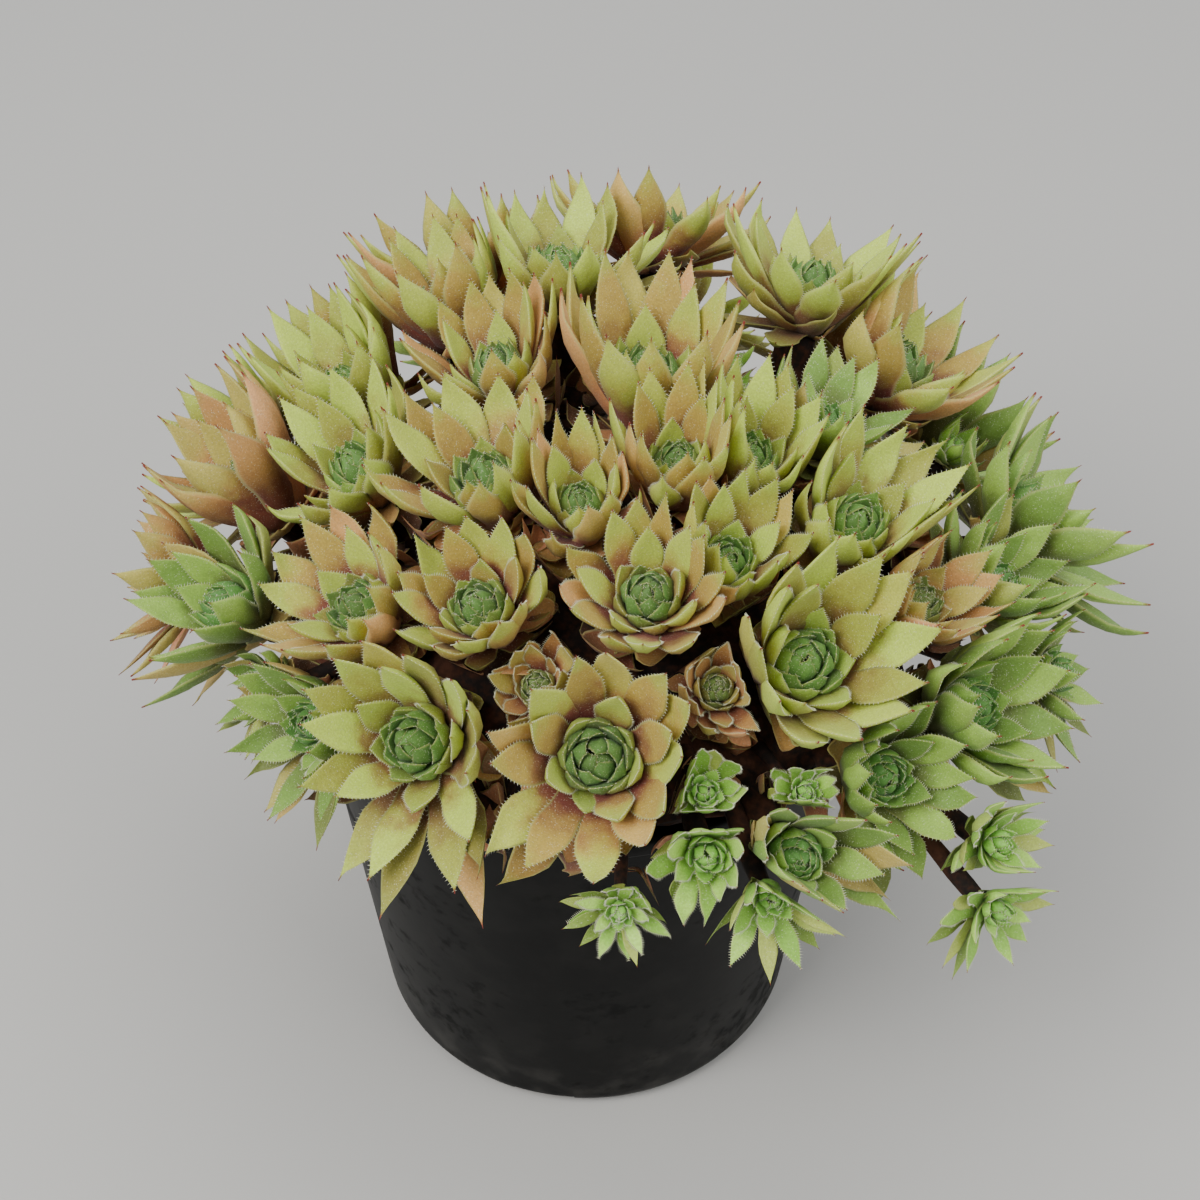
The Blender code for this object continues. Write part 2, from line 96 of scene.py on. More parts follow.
OUTER_GRID = Grid(12, 10, 22)
BUD_GRID = Grid(9, 8, 8)


@dataclass(frozen=True)
class LeafFinish:
    """The colours of one rosette's leaves, as sRGB bytes, from the root to the tip."""

    slot: str
    root: Colour
    middle: Colour
    tip: Colour
    heart: Colour
    old: Colour
    edge: Colour = (190, 192, 112)
    point: Colour = (120, 42, 30)


FINISHES = {
    "blush": LeafFinish("leaf_blush", (126, 66, 56), (182, 154, 70), (174, 186, 74), (72, 114, 54),
                        (204, 142, 92)),
    "olive": LeafFinish("leaf_olive", (128, 88, 54), (166, 168, 66), (178, 196, 76), (76, 120, 52),
                        (194, 144, 82)),
    "green": LeafFinish("leaf_green", (96, 104, 50), (118, 152, 62), (146, 178, 74), (78, 126, 56),
                        (180, 148, 82)),
    "tan": LeafFinish("leaf_tan", (132, 72, 56), (190, 140, 80), (178, 164, 80), (86, 116, 56),
                      (212, 144, 102)),
    "fresh": LeafFinish("leaf_fresh", (118, 158, 56), (136, 184, 64), (166, 206, 86),
                        (122, 176, 70), (166, 174, 80)),
}


def linear(colour: Colour) -> tuple[float, float, float, float]:
    """Turn an sRGB colour into the linear values that a shader takes.

    Args:
        colour: red, green and blue from 0 to 255.
    Returns:
        The linear colour with full alpha.
    """
    part = np.array(colour) / 255.0
    value = np.where(part <= 0.04045, part / 12.92, ((part + 0.055) / 1.055) ** 2.4)
    return (*value.tolist(), 1.0)


def unit(vectors: np.ndarray) -> np.ndarray:
    """Return vectors scaled to length 1 along the last axis."""
    return vectors / np.maximum(np.linalg.norm(vectors, axis=-1, keepdims=True), TINY)


def circle(count: int) -> np.ndarray:
    """Return angles spaced evenly round a circle."""
    return 2 * np.pi * np.arange(count) / count


def smooth(share: np.ndarray) -> np.ndarray:
    """Return the smooth step 3 x^2 - 2 x^3 of a share."""
    return share ** 2 * (3 - 2 * share)


def turned(angle: np.ndarray, one: np.ndarray, two: np.ndarray) -> np.ndarray:
    """Return the directions cos(angle) * one + sin(angle) * two."""
    return np.cos(angle)[..., None] * one + np.sin(angle)[..., None] * two


def tube_faces(rings: int, sides: int) -> tuple[np.ndarray, np.ndarray]:
    """Number the faces of a closed tube whose two ends are poles after its rings.

    Args:
        rings: how many rings the tube has.
        sides: how many points each ring has.
    Returns:
        The quads between the rings and the triangles at the two poles.
    """
    ring = np.arange(sides)
    after = (ring + 1) % sides
    rows = np.arange(rings - 1)[:, None] * sides
    quads = np.stack([rows + ring, rows + after, rows + sides + after, rows + sides + ring], -1)
    first, last = rings * sides, rings * sides + 1
    end = (rings - 1) * sides
    near = np.stack([np.full(sides, first), after, ring], -1)
    far = np.stack([np.full(sides, last), end + ring, end + after], -1)
    return quads.reshape(-1, 4), np.concatenate([near, far])


@dataclass
class Surface:
    """Points, faces and per-point values of one piece while it is put together."""

    points: list[np.ndarray] = field(default_factory=list)
    quads: list[np.ndarray] = field(default_factory=list)
    triangles: list[np.ndarray] = field(default_factory=list)
    values: list[np.ndarray] = field(default_factory=list)
    count: int = 0

    def add(self, points: np.ndarray, quads: np.ndarray = NO_QUADS,
            triangles: np.ndarray = NO_TRIANGLES,
            values: np.ndarray | tuple[float, ...] = NO_VALUES) -> None:
        """Add one closed surface.

        Args:
            points: an (n, 3) array.
            quads: four point numbers a row.
            triangles: three point numbers a row.
            values: along, across, age and tint, once for all points or a row for each.
        """
        self.points.append(points)
        self.quads.append(quads + self.count)
        self.triangles.append(triangles + self.count)
        self.values.append(np.broadcast_to(values, (len(points), len(VALUES))))
        self.count += len(points)

    def add_tube(self, rings: np.ndarray, ends: list[np.ndarray],
                 values: np.ndarray | tuple[float, ...] = NO_VALUES, step: int = 1) -> None:
        """Add a closed tube: rings of points joined by quads, with a pole at each end.

        Args:
            rings: a (rings, sides, 3) array.
            ends: the two poles.
            values: as add takes them, with the poles' rows last.
            step: -1 where the rings run the other way round, so that the faces still point out.
        """
        points = np.concatenate([rings.reshape(-1, 3), ends])
        quads, triangles = tube_faces(*rings.shape[:2])
        self.add(points, quads[:, ::step], triangles[:, ::step], values)

    def build(self, name: str, material: bpy.types.Material) -> bpy.types.Object:
        """Make the mesh object, smooth shaded, with its values as attributes.

        Args:
            name: the piece's name.
            material: its material.
        Returns:
            The new object, at the origin.
        """
        points = np.concatenate(self.points).astype(np.float32)
        quads = np.concatenate(self.quads).astype(np.int32).reshape(-1, 4)
        triangles = np.concatenate(self.triangles).astype(np.int32).reshape(-1, 3)
        mesh = bpy.data.meshes.new(name)
        mesh.vertices.add(len(points))
        mesh.vertices.foreach_set("co", points.ravel())
        corners = np.concatenate([quads.ravel(), triangles.ravel()])
        starts = np.concatenate([np.arange(len(quads)) * 4,
                                 quads.size + np.arange(len(triangles)) * 3])
        mesh.loops.add(len(corners))
        mesh.loops.foreach_set("vertex_index", corners)
        mesh.polygons.add(len(starts))
        mesh.polygons.foreach_set("loop_start", starts.astype(np.int32))
        mesh.polygons.foreach_set("use_smooth", np.ones(len(starts), bool))
        mesh.update(calc_edges=True)
        values = np.concatenate(self.values).astype(np.float32)
        for column, label in enumerate(VALUES):
            attribute = mesh.attributes.new(label, "FLOAT", "POINT")
            attribute.data.foreach_set("value", np.ascontiguousarray(values[:, column]))
        mesh.validate()
        mesh.materials.append(material)
        item = bpy.data.objects.new(name, mesh)
        bpy.context.scene.collection.objects.link(item)
        return item


@dataclass
class Mound:
    """The dome that the rosettes' hearts stand on, the crown inside it and the pot below."""

    centre: np.ndarray = field(default_factory=lambda: np.array([13, 3, 140]) * MM)
    radii: np.ndarray = field(default_factory=lambda: np.array([121, 112, 85]) * MM)
    keep_out: np.ndarray = field(default_factory=lambda: np.array([93, 87, 62]) * MM)
    crown_top: float = 198 * MM
    crown_radius: float = 86 * MM
    pot_height: float = 155 * MM
    rim_radius: float = 89.4 * MM
    rim_clear: float = 3.5 * MM

    def heart(self, azimuth: float, tilt: float, out: float) -> np.ndarray:
        """Find a heart's place: the dome's centre plus out times the radii along the two angles.

        Args:
            azimuth: degrees round from +X.
            tilt: degrees down from the top.
            out: the share of the dome's radii.
        Returns:
            The place.
        """
        azimuth, tilt = np.radians(azimuth), np.radians(tilt)
        ray = np.array([np.sin(tilt) * np.cos(azimuth), np.sin(tilt) * np.sin(azimuth), np.cos(tilt)])
        return self.centre + self.radii * ray * out

    def normal(self, point: np.ndarray, lean: float = 0.85) -> np.ndarray:
        """Turn the dome's outward direction towards the sky, to lean times its angle from it.

        Args:
            point: a heart's place.
            lean: the share of the angle that is kept.
        Returns:
            A unit direction.
        """
        straight = unit((point - self.centre) / self.radii ** 2)
        angle = np.arccos(np.clip(straight @ UP, -1, 1))
        if angle < TINY:
            return straight
        share = 1.0 - lean
        return (np.sin((1 - share) * angle) * straight + np.sin(share * angle) * UP) / np.sin(angle)

    def clear(self, points: np.ndarray) -> np.ndarray:
        """Push points out of the crown's ellipsoid and, below the rim, out past the pot.

        Args:
            points: an array of points.
        Returns:
            The points, moved where they had to be.
        """
        offset = points - self.centre
        size = np.sqrt(((offset / self.keep_out) ** 2).sum(-1, keepdims=True))
        points = np.where(size < 1.0, self.centre + offset / np.maximum(size, TINY), points)
        across = np.linalg.norm(points[..., :2], axis=-1)
        low = (points[..., 2] < self.pot_height + self.rim_clear) & (across < self.rim_radius)
        scale = np.where(low, self.rim_radius / np.maximum(across, TINY), 1.0)
        return np.concatenate([points[..., :2] * scale[..., None], points[..., 2:]], -1)


@dataclass(frozen=True)
class Leaf:
    """One leaf: where it grows, which way it leans and curls, its size, its age and its tint.

    Age runs from 0, outermost, to 1 in the heart. It is below 0 on a withered leaf.
    """

    root: np.ndarray
    out: np.ndarray
    axis: np.ndarray
    length: float
    half: float
    lean: float
    curl: float
    age: float
    tint: float
    plump: float = 1.0
    widest: float = 0.58
    point: float = 0.955
    root_width: float = 0.40
    point_width: float = 0.05
    ogive: float = 1.4
    cup: float = 0.22
    ripple: float = 0.05
    bud_age: float = 0.5
    steps: int = 24

    @property
    def across(self) -> np.ndarray:
        """Return the direction across the leaf."""
        return np.cross(self.axis, self.out)

    @property
    def grid(self) -> Grid:
        """Return how finely the leaf is made, which is less in the bud."""
        return OUTER_GRID if self.age < self.bud_age else BUD_GRID

    def lines(self, leans: np.ndarray) -> tuple[np.ndarray, np.ndarray]:
        """Work out the centre line for each of several leans.

        The line's angle from the axis is lean + curl * (0.5 - t), so it curls in towards the tip.

        Args:
            leans: the middle angles to try, in radians.
        Returns:
            The lines as (leans, steps + 1, 3) points, and the way the leaf faces along them.
        """
        t = (np.arange(self.steps) + 0.5) / self.steps
        angle = leans[:, None] + self.curl * (0.5 - t)
        lines = self.root + np.cumsum(turned(angle, self.axis, self.out), 1) * (self.length / self.steps)
        start = np.broadcast_to(self.root, (len(leans), 1, 3))
        angle = leans[:, None] + self.curl * (0.5 - np.arange(self.steps + 1) / self.steps)
        return np.concatenate([start, lines], 1), turned(angle, -self.out, self.axis)

    def width(self, s: np.ndarray) -> np.ndarray:
        """Return the half width along the leaf, as a share of its widest.

        It swells smoothly to the widest place, narrows as 1 - f^ogive, and ends in a fine point
        that thins evenly.

        Args:
            s: how far along, from 0 to 1.
        Returns:
            The shares.
        """
        rise = np.clip(s / self.widest, 0, 1)
        fall = np.clip((s - self.widest) / (self.point - self.widest), 0, 1)
        swell = self.root_width + (1 - self.root_width) * smooth(rise)
        return np.maximum(swell * (1 - fall ** self.ogive), self.point_width * (1 - s) / (1 - self.point))

    def sheet(self, s: np.ndarray, x: np.ndarray) -> tuple[np.ndarray, np.ndarray, np.ndarray]:
        """Work out the leaf's middle sheet: line + across * w(s) * x, cupped towards the face.

        The cup is cup * w x^2, with a slight ripple of ripple * w sin(9 s + 3 x + 7 tint).

        Args:
            s: how far along each ring is.
            x: how far across each point of a ring is, from -1 to 1.
        Returns:
            The middle of each ring, the way it faces and the sheet, rings by points.
        """
        line, faces = (array[0] for array in self.lines(np.array([self.lean])))
        at = s * self.steps
        low = np.minimum(at.astype(int), self.steps - 1)
        part = (at - low)[:, None]
        middle = line[low] * (1 - part) + line[low + 1] * part
        face = faces[low] * (1 - part) + faces[low + 1] * part
        w = (self.half * self.width(s))[:, None]
        lift = w * (self.cup * x ** 2 + self.ripple * np.sin(9 * s[:, None] + 3 * x + 7 * self.tint))
        sheet = middle[:, None] + self.across * (w * x)[..., None] + face[:, None] * lift[..., None]
        return middle, face, sheet


@dataclass
class Rosette:
    """One hen, chick or shoot: its place on the mound, its leaves and its finish.

    Sizes with no unit are shares of the leaf's length, and those of lean and curl are degrees.
    """

    name: str
    azimuth: float
    tilt: float
    out: float
    leaf_mm: float
    spread_deg: float
    finish: str
    index: int = 0
    mound: Mound = field(default_factory=Mound)
    heart_height: float = 0.42
    leaf_width: float = 0.152
    width_shrink: float = 0.45
    leaf_shrink: float = 0.12
    size_swing: float = 0.07
    root_out: float = 0.13
    root_close: float = 0.75
    root_height: float = 0.06
    root_climb: float = 0.16
    curl_first: float = 12.0
    curl_more: float = 70.0
    bud_start: float = 0.25
    bud_span: float = 0.28
    bud_drop: float = 0.54
    bud_close: float = 0.8
    close_start: float = 0.6
    leaf_depth: float = 0.07
    least_depth: float = 0.9 * MM
    root_depth: float = 0.35
    tip_thinning: float = 0.62
    tip_reach: float = 0.02
    last_ring: float = 0.995
    ring_crowding: float = 1.1
    face_share: float = 0.34
    back_share: float = 0.66
    keel: float = 0.25
    keel_from: float = -0.9
    skirt: int = 9
    skirt_out: float = 0.10
    skirt_height: float = 0.02
    skirt_turn: float = 0.35
    skirt_lengths: tuple[float, ...] = (1.1, 1.0, 0.9, 0.8, 0.7, 0.6, 0.5)
    skirt_lean: float = 82.0
    skirt_swing: float = 14.0
    skirt_curl: float = 8.0
    skirt_width: float = 0.85
    skirt_age: float = -0.4
    skirt_plump: float = 0.45
    margin: float = 0.9 * MM
    soft: float = 4 * MM
    press: float = 3 * MM
    lean_extra: float = 8.0
    lean_fall: float = 1.05
    lean_heart: float = 0.1
    lean_swing: float = 0.1
    lean_tries: int = 24
    lean_step: float = float(np.radians(5))
    lean_least: float = float(np.radians(14))
    behind: tuple[tuple[int, float], ...] = ((8, 0.08), (13, 0.14))
    hair: float = 0.9 * MM
    hair_width: float = 0.11 * MM
    hair_sink: float = 0.15 * MM
    hair_span: tuple[float, float] = (0.28, 0.97)
    hair_ahead: float = 0.5
    hair_lift: float = 0.25
    hair_sway: float = 0.2

    def __post_init__(self) -> None:
        """Work out the heart, the axis and the frame that the leaves turn in."""
        self.leaf = self.leaf_mm * MM
        self.kind = Kind.HEN if self.name.startswith("hen") else Kind.CHICK
        self.heart = self.mound.heart(self.azimuth, self.tilt, self.out)
        self.axis = self.mound.normal(self.heart)
        self.base = self.heart - self.axis * self.heart_height * self.leaf
        self.side = unit(np.cross(self.axis, SIDE_HINT))
        self.front = np.cross(self.axis, self.side)
        self.leans: list[float] = []

    def swing(self, number: float | np.ndarray, rate: float, shift: float) -> float | np.ndarray:
        """Return sin(rate * number + shift * index), a scatter that is the same each run."""
        return np.sin(rate * number + shift * self.index)

    def meet(self, others: list[Rosette], reach: float = 110 * MM) -> None:
        """Set a plane between this rosette and each near one, nearer to the smaller of the two.

        Args:
            others: all the rosettes.
            reach: how far apart two hearts may be and still crowd each other.
        """
        near = [o for o in others if o is not self and np.linalg.norm(o.heart - self.heart) <= reach]
        gaps = np.array([o.heart - self.heart for o in near])
        share = np.array([self.leaf / (self.leaf + o.leaf) for o in near])
        self.places = self.heart + gaps * share[:, None]
        self.normals = unit(gaps)

    def depth(self, points: np.ndarray) -> np.ndarray:
        """Return how far points are past the nearest plane, negative on this rosette's side."""
        along = points @ self.normals.T
        return (along - (self.places * self.normals).sum(1)).max(-1)

    def hold(self, points: np.ndarray, rounds: int = 3) -> np.ndarray:
        """Press points softly back behind each plane in turn.

        A depth d past the soft line becomes -margin - room * exp(-(d + soft) / room), which never
        reaches the margin and keeps the order of the points.

        Args:
            points: an array of points.
            rounds: how often all the planes are gone through.
        Returns:
            The pressed points.
        """
        room = self.soft - self.margin
        for _ in range(rounds):
            for place, normal in zip(self.places, self.normals):
                depth = (points - place) @ normal
                kept = -self.margin - room * np.exp(-(np.maximum(depth, -self.soft) + self.soft) / room)
                points = points + normal * np.where(depth > -self.soft, kept - depth, 0.0)[..., None]
        return points

    def leaf_at(self, turn: int) -> Leaf:
        """Give one leaf by the growth rule. Its root climbs and closes in with age as it shortens.

        Args:
            turn: the leaf's number from the outermost, 0.
        Returns:
            The leaf, with its lean if that is known yet.
        """
        u = turn / (self.kind.value - 1)
        out = turned(turn * GOLDEN_ANGLE + self.index, self.side, self.front)
        root = self.base + out * (self.root_out * self.leaf * (1.0 - self.root_close * u))
        root = root + self.axis * self.leaf * (self.root_height + self.root_climb * u)
        lean = self.leans[turn] if turn < len(self.leans) else 0.0
        share = np.clip((u - self.bud_start) / self.bud_span, 0.0, 1.0)
        size = self.leaf * (1.0 - self.leaf_shrink * u - self.bud_drop * smooth(share))
        return Leaf(root, out, self.axis, size * (1.0 + self.size_swing * self.swing(turn, *WOBBLE)),
                    self.leaf * self.leaf_width * (1.0 - self.width_shrink * u), lean,
                    np.radians(self.curl_first + self.curl_more * u), u,
                    0.5 + 0.5 * self.swing(turn, *TINT))

    def old_leaf(self, number: int) -> Leaf:
        """Give one withered leaf of the skirt, flat on the mound and short enough for its cell.

        Args:
            number: its number round the foot of the rosette.
        Returns:
            The leaf.
        """
        around = 2 * np.pi * number / self.skirt + self.skirt_turn * self.swing(number, *SKIRT_TURN)
        out = turned(around, self.side, self.front)
        root = self.base + out * self.skirt_out * self.leaf + self.axis * self.skirt_height * self.leaf
        lean = np.radians(self.skirt_lean + self.skirt_swing * self.swing(number, *SKIRT_LEAN))
        leaf = Leaf(root, out, self.axis, self.leaf, self.leaf * self.leaf_width * self.skirt_width, lean,
                    np.radians(self.skirt_curl), self.skirt_age,
                    0.5 + 0.5 * self.swing(number, *SKIRT_TINT), self.skirt_plump)
        for share in self.skirt_lengths:
            leaf = replace(leaf, length=self.leaf * share)
            line, _ = leaf.lines(np.array([lean]))
            if self.depth(line[0, -1]) < self.press:
                break
        return leaf

    def lean_out(self) -> None:
        """Lean each leaf out until it meets a neighbour's plane or the older leaf behind it."""
        for turn in range(self.kind.value):
            leaf = self.leaf_at(turn)
            outer = 1.0 - leaf.age
            close = self.bud_close * max(leaf.age - self.close_start, 0.0)
            lean = np.radians(self.spread_deg + self.lean_extra) * outer ** self.lean_fall
            lean = lean + self.lean_swing * self.swing(turn, *WOBBLE) * outer + self.lean_heart - close
            for back, step in self.behind:
                if turn >= back:
                    lean = min(lean, self.leans[turn - back] - step)
            tries = lean - self.lean_step * np.arange(self.lean_tries)
            lines, _ = leaf.lines(tries)
            across = leaf.across * leaf.half
            middle = lines[:, round(leaf.widest * leaf.steps)]
            tests = np.stack([lines[:, -1], middle + across, middle - across], 1)
            fits = (self.depth(tests) < self.press).all(1) | (tries <= self.lean_least)
            self.leans.append(max(float(tries[np.argmax(fits)]), self.lean_least * outer - close))

    def add_leaf(self, surface: Surface, leaf: Leaf) -> None:
        """Add one plump, slightly cupped leaf with a keeled back, and the hairs on its edges.

        The middle sheet is pressed behind the planes and off the crown. The two skins then stand off
        it by the thickness times sin(a), more at the back than on the face.

        Args:
            surface: the surface that the leaf is added to.
            leaf: the leaf.
        """
        grid = leaf.grid
        s = np.sin(np.linspace(0.0, 1.0, grid.rings) * np.pi / 2) ** self.ring_crowding * self.last_ring
        angle = circle(grid.sides)
        x = np.cos(angle)
        middle, face, sheet = leaf.sheet(s, x)
        sheet = self.mound.clear(self.hold(sheet))
        thick = max(self.leaf * self.leaf_depth, self.least_depth) * leaf.plump
        thick = thick * (1 - self.tip_thinning * s ** 3)
        thick = thick * (self.root_depth + (1 - self.root_depth) * np.sqrt(leaf.width(s)))
        skin = np.sin(angle) * np.where(np.sin(angle) > 0, self.face_share, self.back_share)
        ridge = 1 + self.keel * (np.sin(angle) < self.keel_from)
        points = sheet + face[:, None] * (thick[:, None] * skin * ridge)[..., None]
        tip = points[-1].mean(0) + (middle[-1] - middle[-2]) * self.tip_reach
        along = np.append(np.repeat(s, grid.sides), (0.0, 1.0))
        wide = np.append(np.tile(x, grid.rings), (0.0, 0.0))
        rest = np.tile((leaf.age, leaf.tint), (len(along), 1))
        surface.add_tube(points, [points[0].mean(0), tip], np.column_stack([along, wide, rest]))
        if leaf.age >= 0.0:
            self.add_hairs(surface, leaf, sheet, face, s)

    def add_hairs(self, surface: Surface, leaf: Leaf, sheet: np.ndarray, face: np.ndarray,
                  s: np.ndarray) -> None:
        """Add the fringe: on each edge a row of fine spikes, each a pyramid on three base points.

        Args:
            surface: the surface that they are added to.
            leaf: the leaf that they grow on.
            sheet: the leaf's middle sheet, rings by sides.
            face: the way the leaf faces at each ring.
            s: how far along the leaf each ring is.
        """
        count = leaf.grid.hairs
        spots = np.linspace(*self.hair_span, count)

        def at_spots(rings: np.ndarray) -> np.ndarray:
            """Return points or directions, given at each ring, at each hair."""
            return np.stack([np.interp(spots, s, column) for column in rings.T], -1)

        looks = at_spots(face)
        sway = self.swing(np.arange(count), *HAIR_SWAY)[:, None]
        rest = np.tile((HAIR_ACROSS, leaf.age, leaf.tint), (4 * count, 1))
        half = sheet.shape[1] // 2
        for edge, other in ((0, half), (half, 0)):
            rim = at_spots(sheet[:, edge])
            away = unit(rim - at_spots(sheet[:, other]))
            ahead = unit(np.gradient(rim, axis=0))
            reach = unit(away + self.hair_ahead * ahead + self.hair_lift * sway * looks)
            reach = reach * self.hair * (1 - self.hair_sway + self.hair_sway * sway)
            root = rim - away * self.hair_sink
            up, on = looks * self.hair_width, ahead * self.hair_width
            base = np.stack([root + up, root - 0.5 * up + on, root - 0.5 * up - on, rim + reach], 1)
            corner = PYRAMID[:, ::-1] if edge else PYRAMID
            triangles = (4 * np.arange(count)[:, None, None] + corner).reshape(-1, 3)
            surface.add(base.reshape(-1, 3), triangles=triangles,
                        values=np.column_stack([np.repeat(spots, 4), rest]))

    def add_core(self, surface: Surface, sides: int = 12) -> None:
        """Add the short stem that the leaves grow from: a ring of radius r(h) about the axis.

        Args:
            surface: the surface that it is added to.
            sides: points round it.
        """
        heights, radii = np.array(CORE).T[..., None, None] * self.leaf
        rings = self.base + self.axis * heights + turned(circle(sides), self.side, self.front) * radii
        ends = [self.base, self.base + self.axis * CORE_TOP * self.leaf]
        surface.add_tube(rings, ends, CORE_VALUES)

    def build(self, material: bpy.types.Material) -> bpy.types.Object:
        """Make the rosette as one piece that stands for its solid.

        Args:
            material: the finish of its leaves.
        Returns:
            The finished piece.
        """
        surface = Surface()
        self.add_core(surface)
        for turn in range(self.kind.value):
            self.add_leaf(surface, self.leaf_at(turn))
        for number in range(self.skirt):
            self.add_leaf(surface, self.old_leaf(number))
        item = surface.build(f"{self.name}_leaves", material)
        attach(item, "root")
        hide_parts(self.name)
        return item


# Each rosette: name, azimuth and tilt on the dome in degrees, distance out as a share of the
# dome's radii, leaf length in mm, how far the outer leaves open in degrees, and its finish
ROSETTES = (
    ("hen_01", 264, 53, 1.00, 44, 88, "blush"),
    ("hen_02", 235, 58, 1.00, 42, 70, "olive"),
    ("hen_03", 303, 43, 1.00, 46, 68, "olive"),
    ("hen_04", 274, 28, 1.00, 37, 58, "blush"),
    ("hen_05", 232, 35, 0.98, 36, 55, "blush"),
    ("hen_06", 210, 46, 1.00, 38, 60, "blush"),
    ("hen_07", 196, 20, 1.00, 42, 60, "blush"),
    ("hen_08", 79, 15, 1.02, 50, 60, "blush"),
    ("hen_09", 147, 49, 1.10, 44, 60, "olive"),
    ("hen_10", 38, 49, 1.14, 46, 62, "blush"),
    ("hen_11", 340, 33, 1.00, 41, 60, "olive"),
    ("hen_12", 317, 8, 1.00, 37, 50, "blush"),
    ("hen_13", 166, 60, 1.11, 47, 52, "tan"),
    ("hen_14", 177, 72, 1.17, 33, 70, "tan"),
    ("hen_15", 190, 65, 1.08, 38, 68, "green"),
    ("hen_16", 125, 40, 1.20, 42, 58, "blush"),
    ("hen_17", 114, 54, 1.30, 42, 56, "blush"),
    ("hen_18", 104, 34, 1.24, 42, 58, "olive"),
    ("hen_19", 86, 50, 1.36, 42, 58, "blush"),
    ("hen_20", 56, 42, 1.26, 42, 60, "olive"),
    ("hen_21", 20, 29, 1.00, 31, 52, "green"),
    ("hen_22", 10, 67, 1.12, 47, 66, "green"),
    ("hen_23", 350, 59, 1.02, 35, 70, "green"),
    ("hen_24", 332, 47, 1.00, 34, 62, "tan"),
    ("hen_25", 326, 65, 1.03, 41, 76, "green"),
    ("hen_26", 240, 14, 0.98, 35, 50, "blush"),
    ("hen_27", 350, 16, 1.00, 36, 50, "olive"),
    ("hen_28", 300, 25, 0.98, 34, 50, "olive"),
    ("hen_29", 307, 66, 1.00, 34, 76, "green"),
    ("hen_30", 290, 70, 1.08, 34, 80, "green"),
    ("hen_31", 155, 68, 1.15, 42, 70, "olive"),
    ("hen_32", 133, 64, 1.15, 42, 66, "blush"),
    ("hen_33", 108, 74, 1.24, 38, 72, "green"),
    ("hen_34", 58, 70, 1.20, 40, 70, "olive"),
    ("hen_35", 36, 74, 1.12, 42, 72, "green"),
    ("hen_36", 84, 76, 1.26, 38, 76, "olive"),
    ("hen_37", 217, 66, 1.00, 30, 78, "green"),
    ("hen_38", 173, 40, 1.02, 38, 60, "olive"),
    ("hen_39", 135, 25, 1.06, 38, 60, "blush"),
    ("hen_40", 251, 44, 0.94, 23, 64, "tan"),
    ("hen_41", 286, 44, 0.94, 23, 64, "tan"),
    ("chick_01", 64, 26, 0.98, 20, 60, "fresh"),
    ("chick_02", 48, 22, 0.96, 18, 60, "fresh"),
    ("chick_03", 25, 61, 1.04, 18, 62, "fresh"),
    ("chick_04", 294, 62, 1.02, 15, 66, "fresh"),
    ("chick_05", 280, 59, 1.00, 18, 66, "fresh"),
    ("chick_06", 279, 68, 1.05, 23, 72, "fresh"),
    ("chick_07", 286, 75, 1.10, 21, 76, "fresh"),
    ("chick_08", 268, 77, 1.06, 14, 76, "fresh"),
    ("chick_09", 202, 71, 1.00, 20, 76, "green"),
    ("chick_10", 343, 74, 1.10, 25, 76, "green"),
    ("shoot_01", 315, 80, 1.17, 20, 70, "fresh"),
    ("shoot_02", 311, 87, 1.24, 19, 70, "fresh"),
)


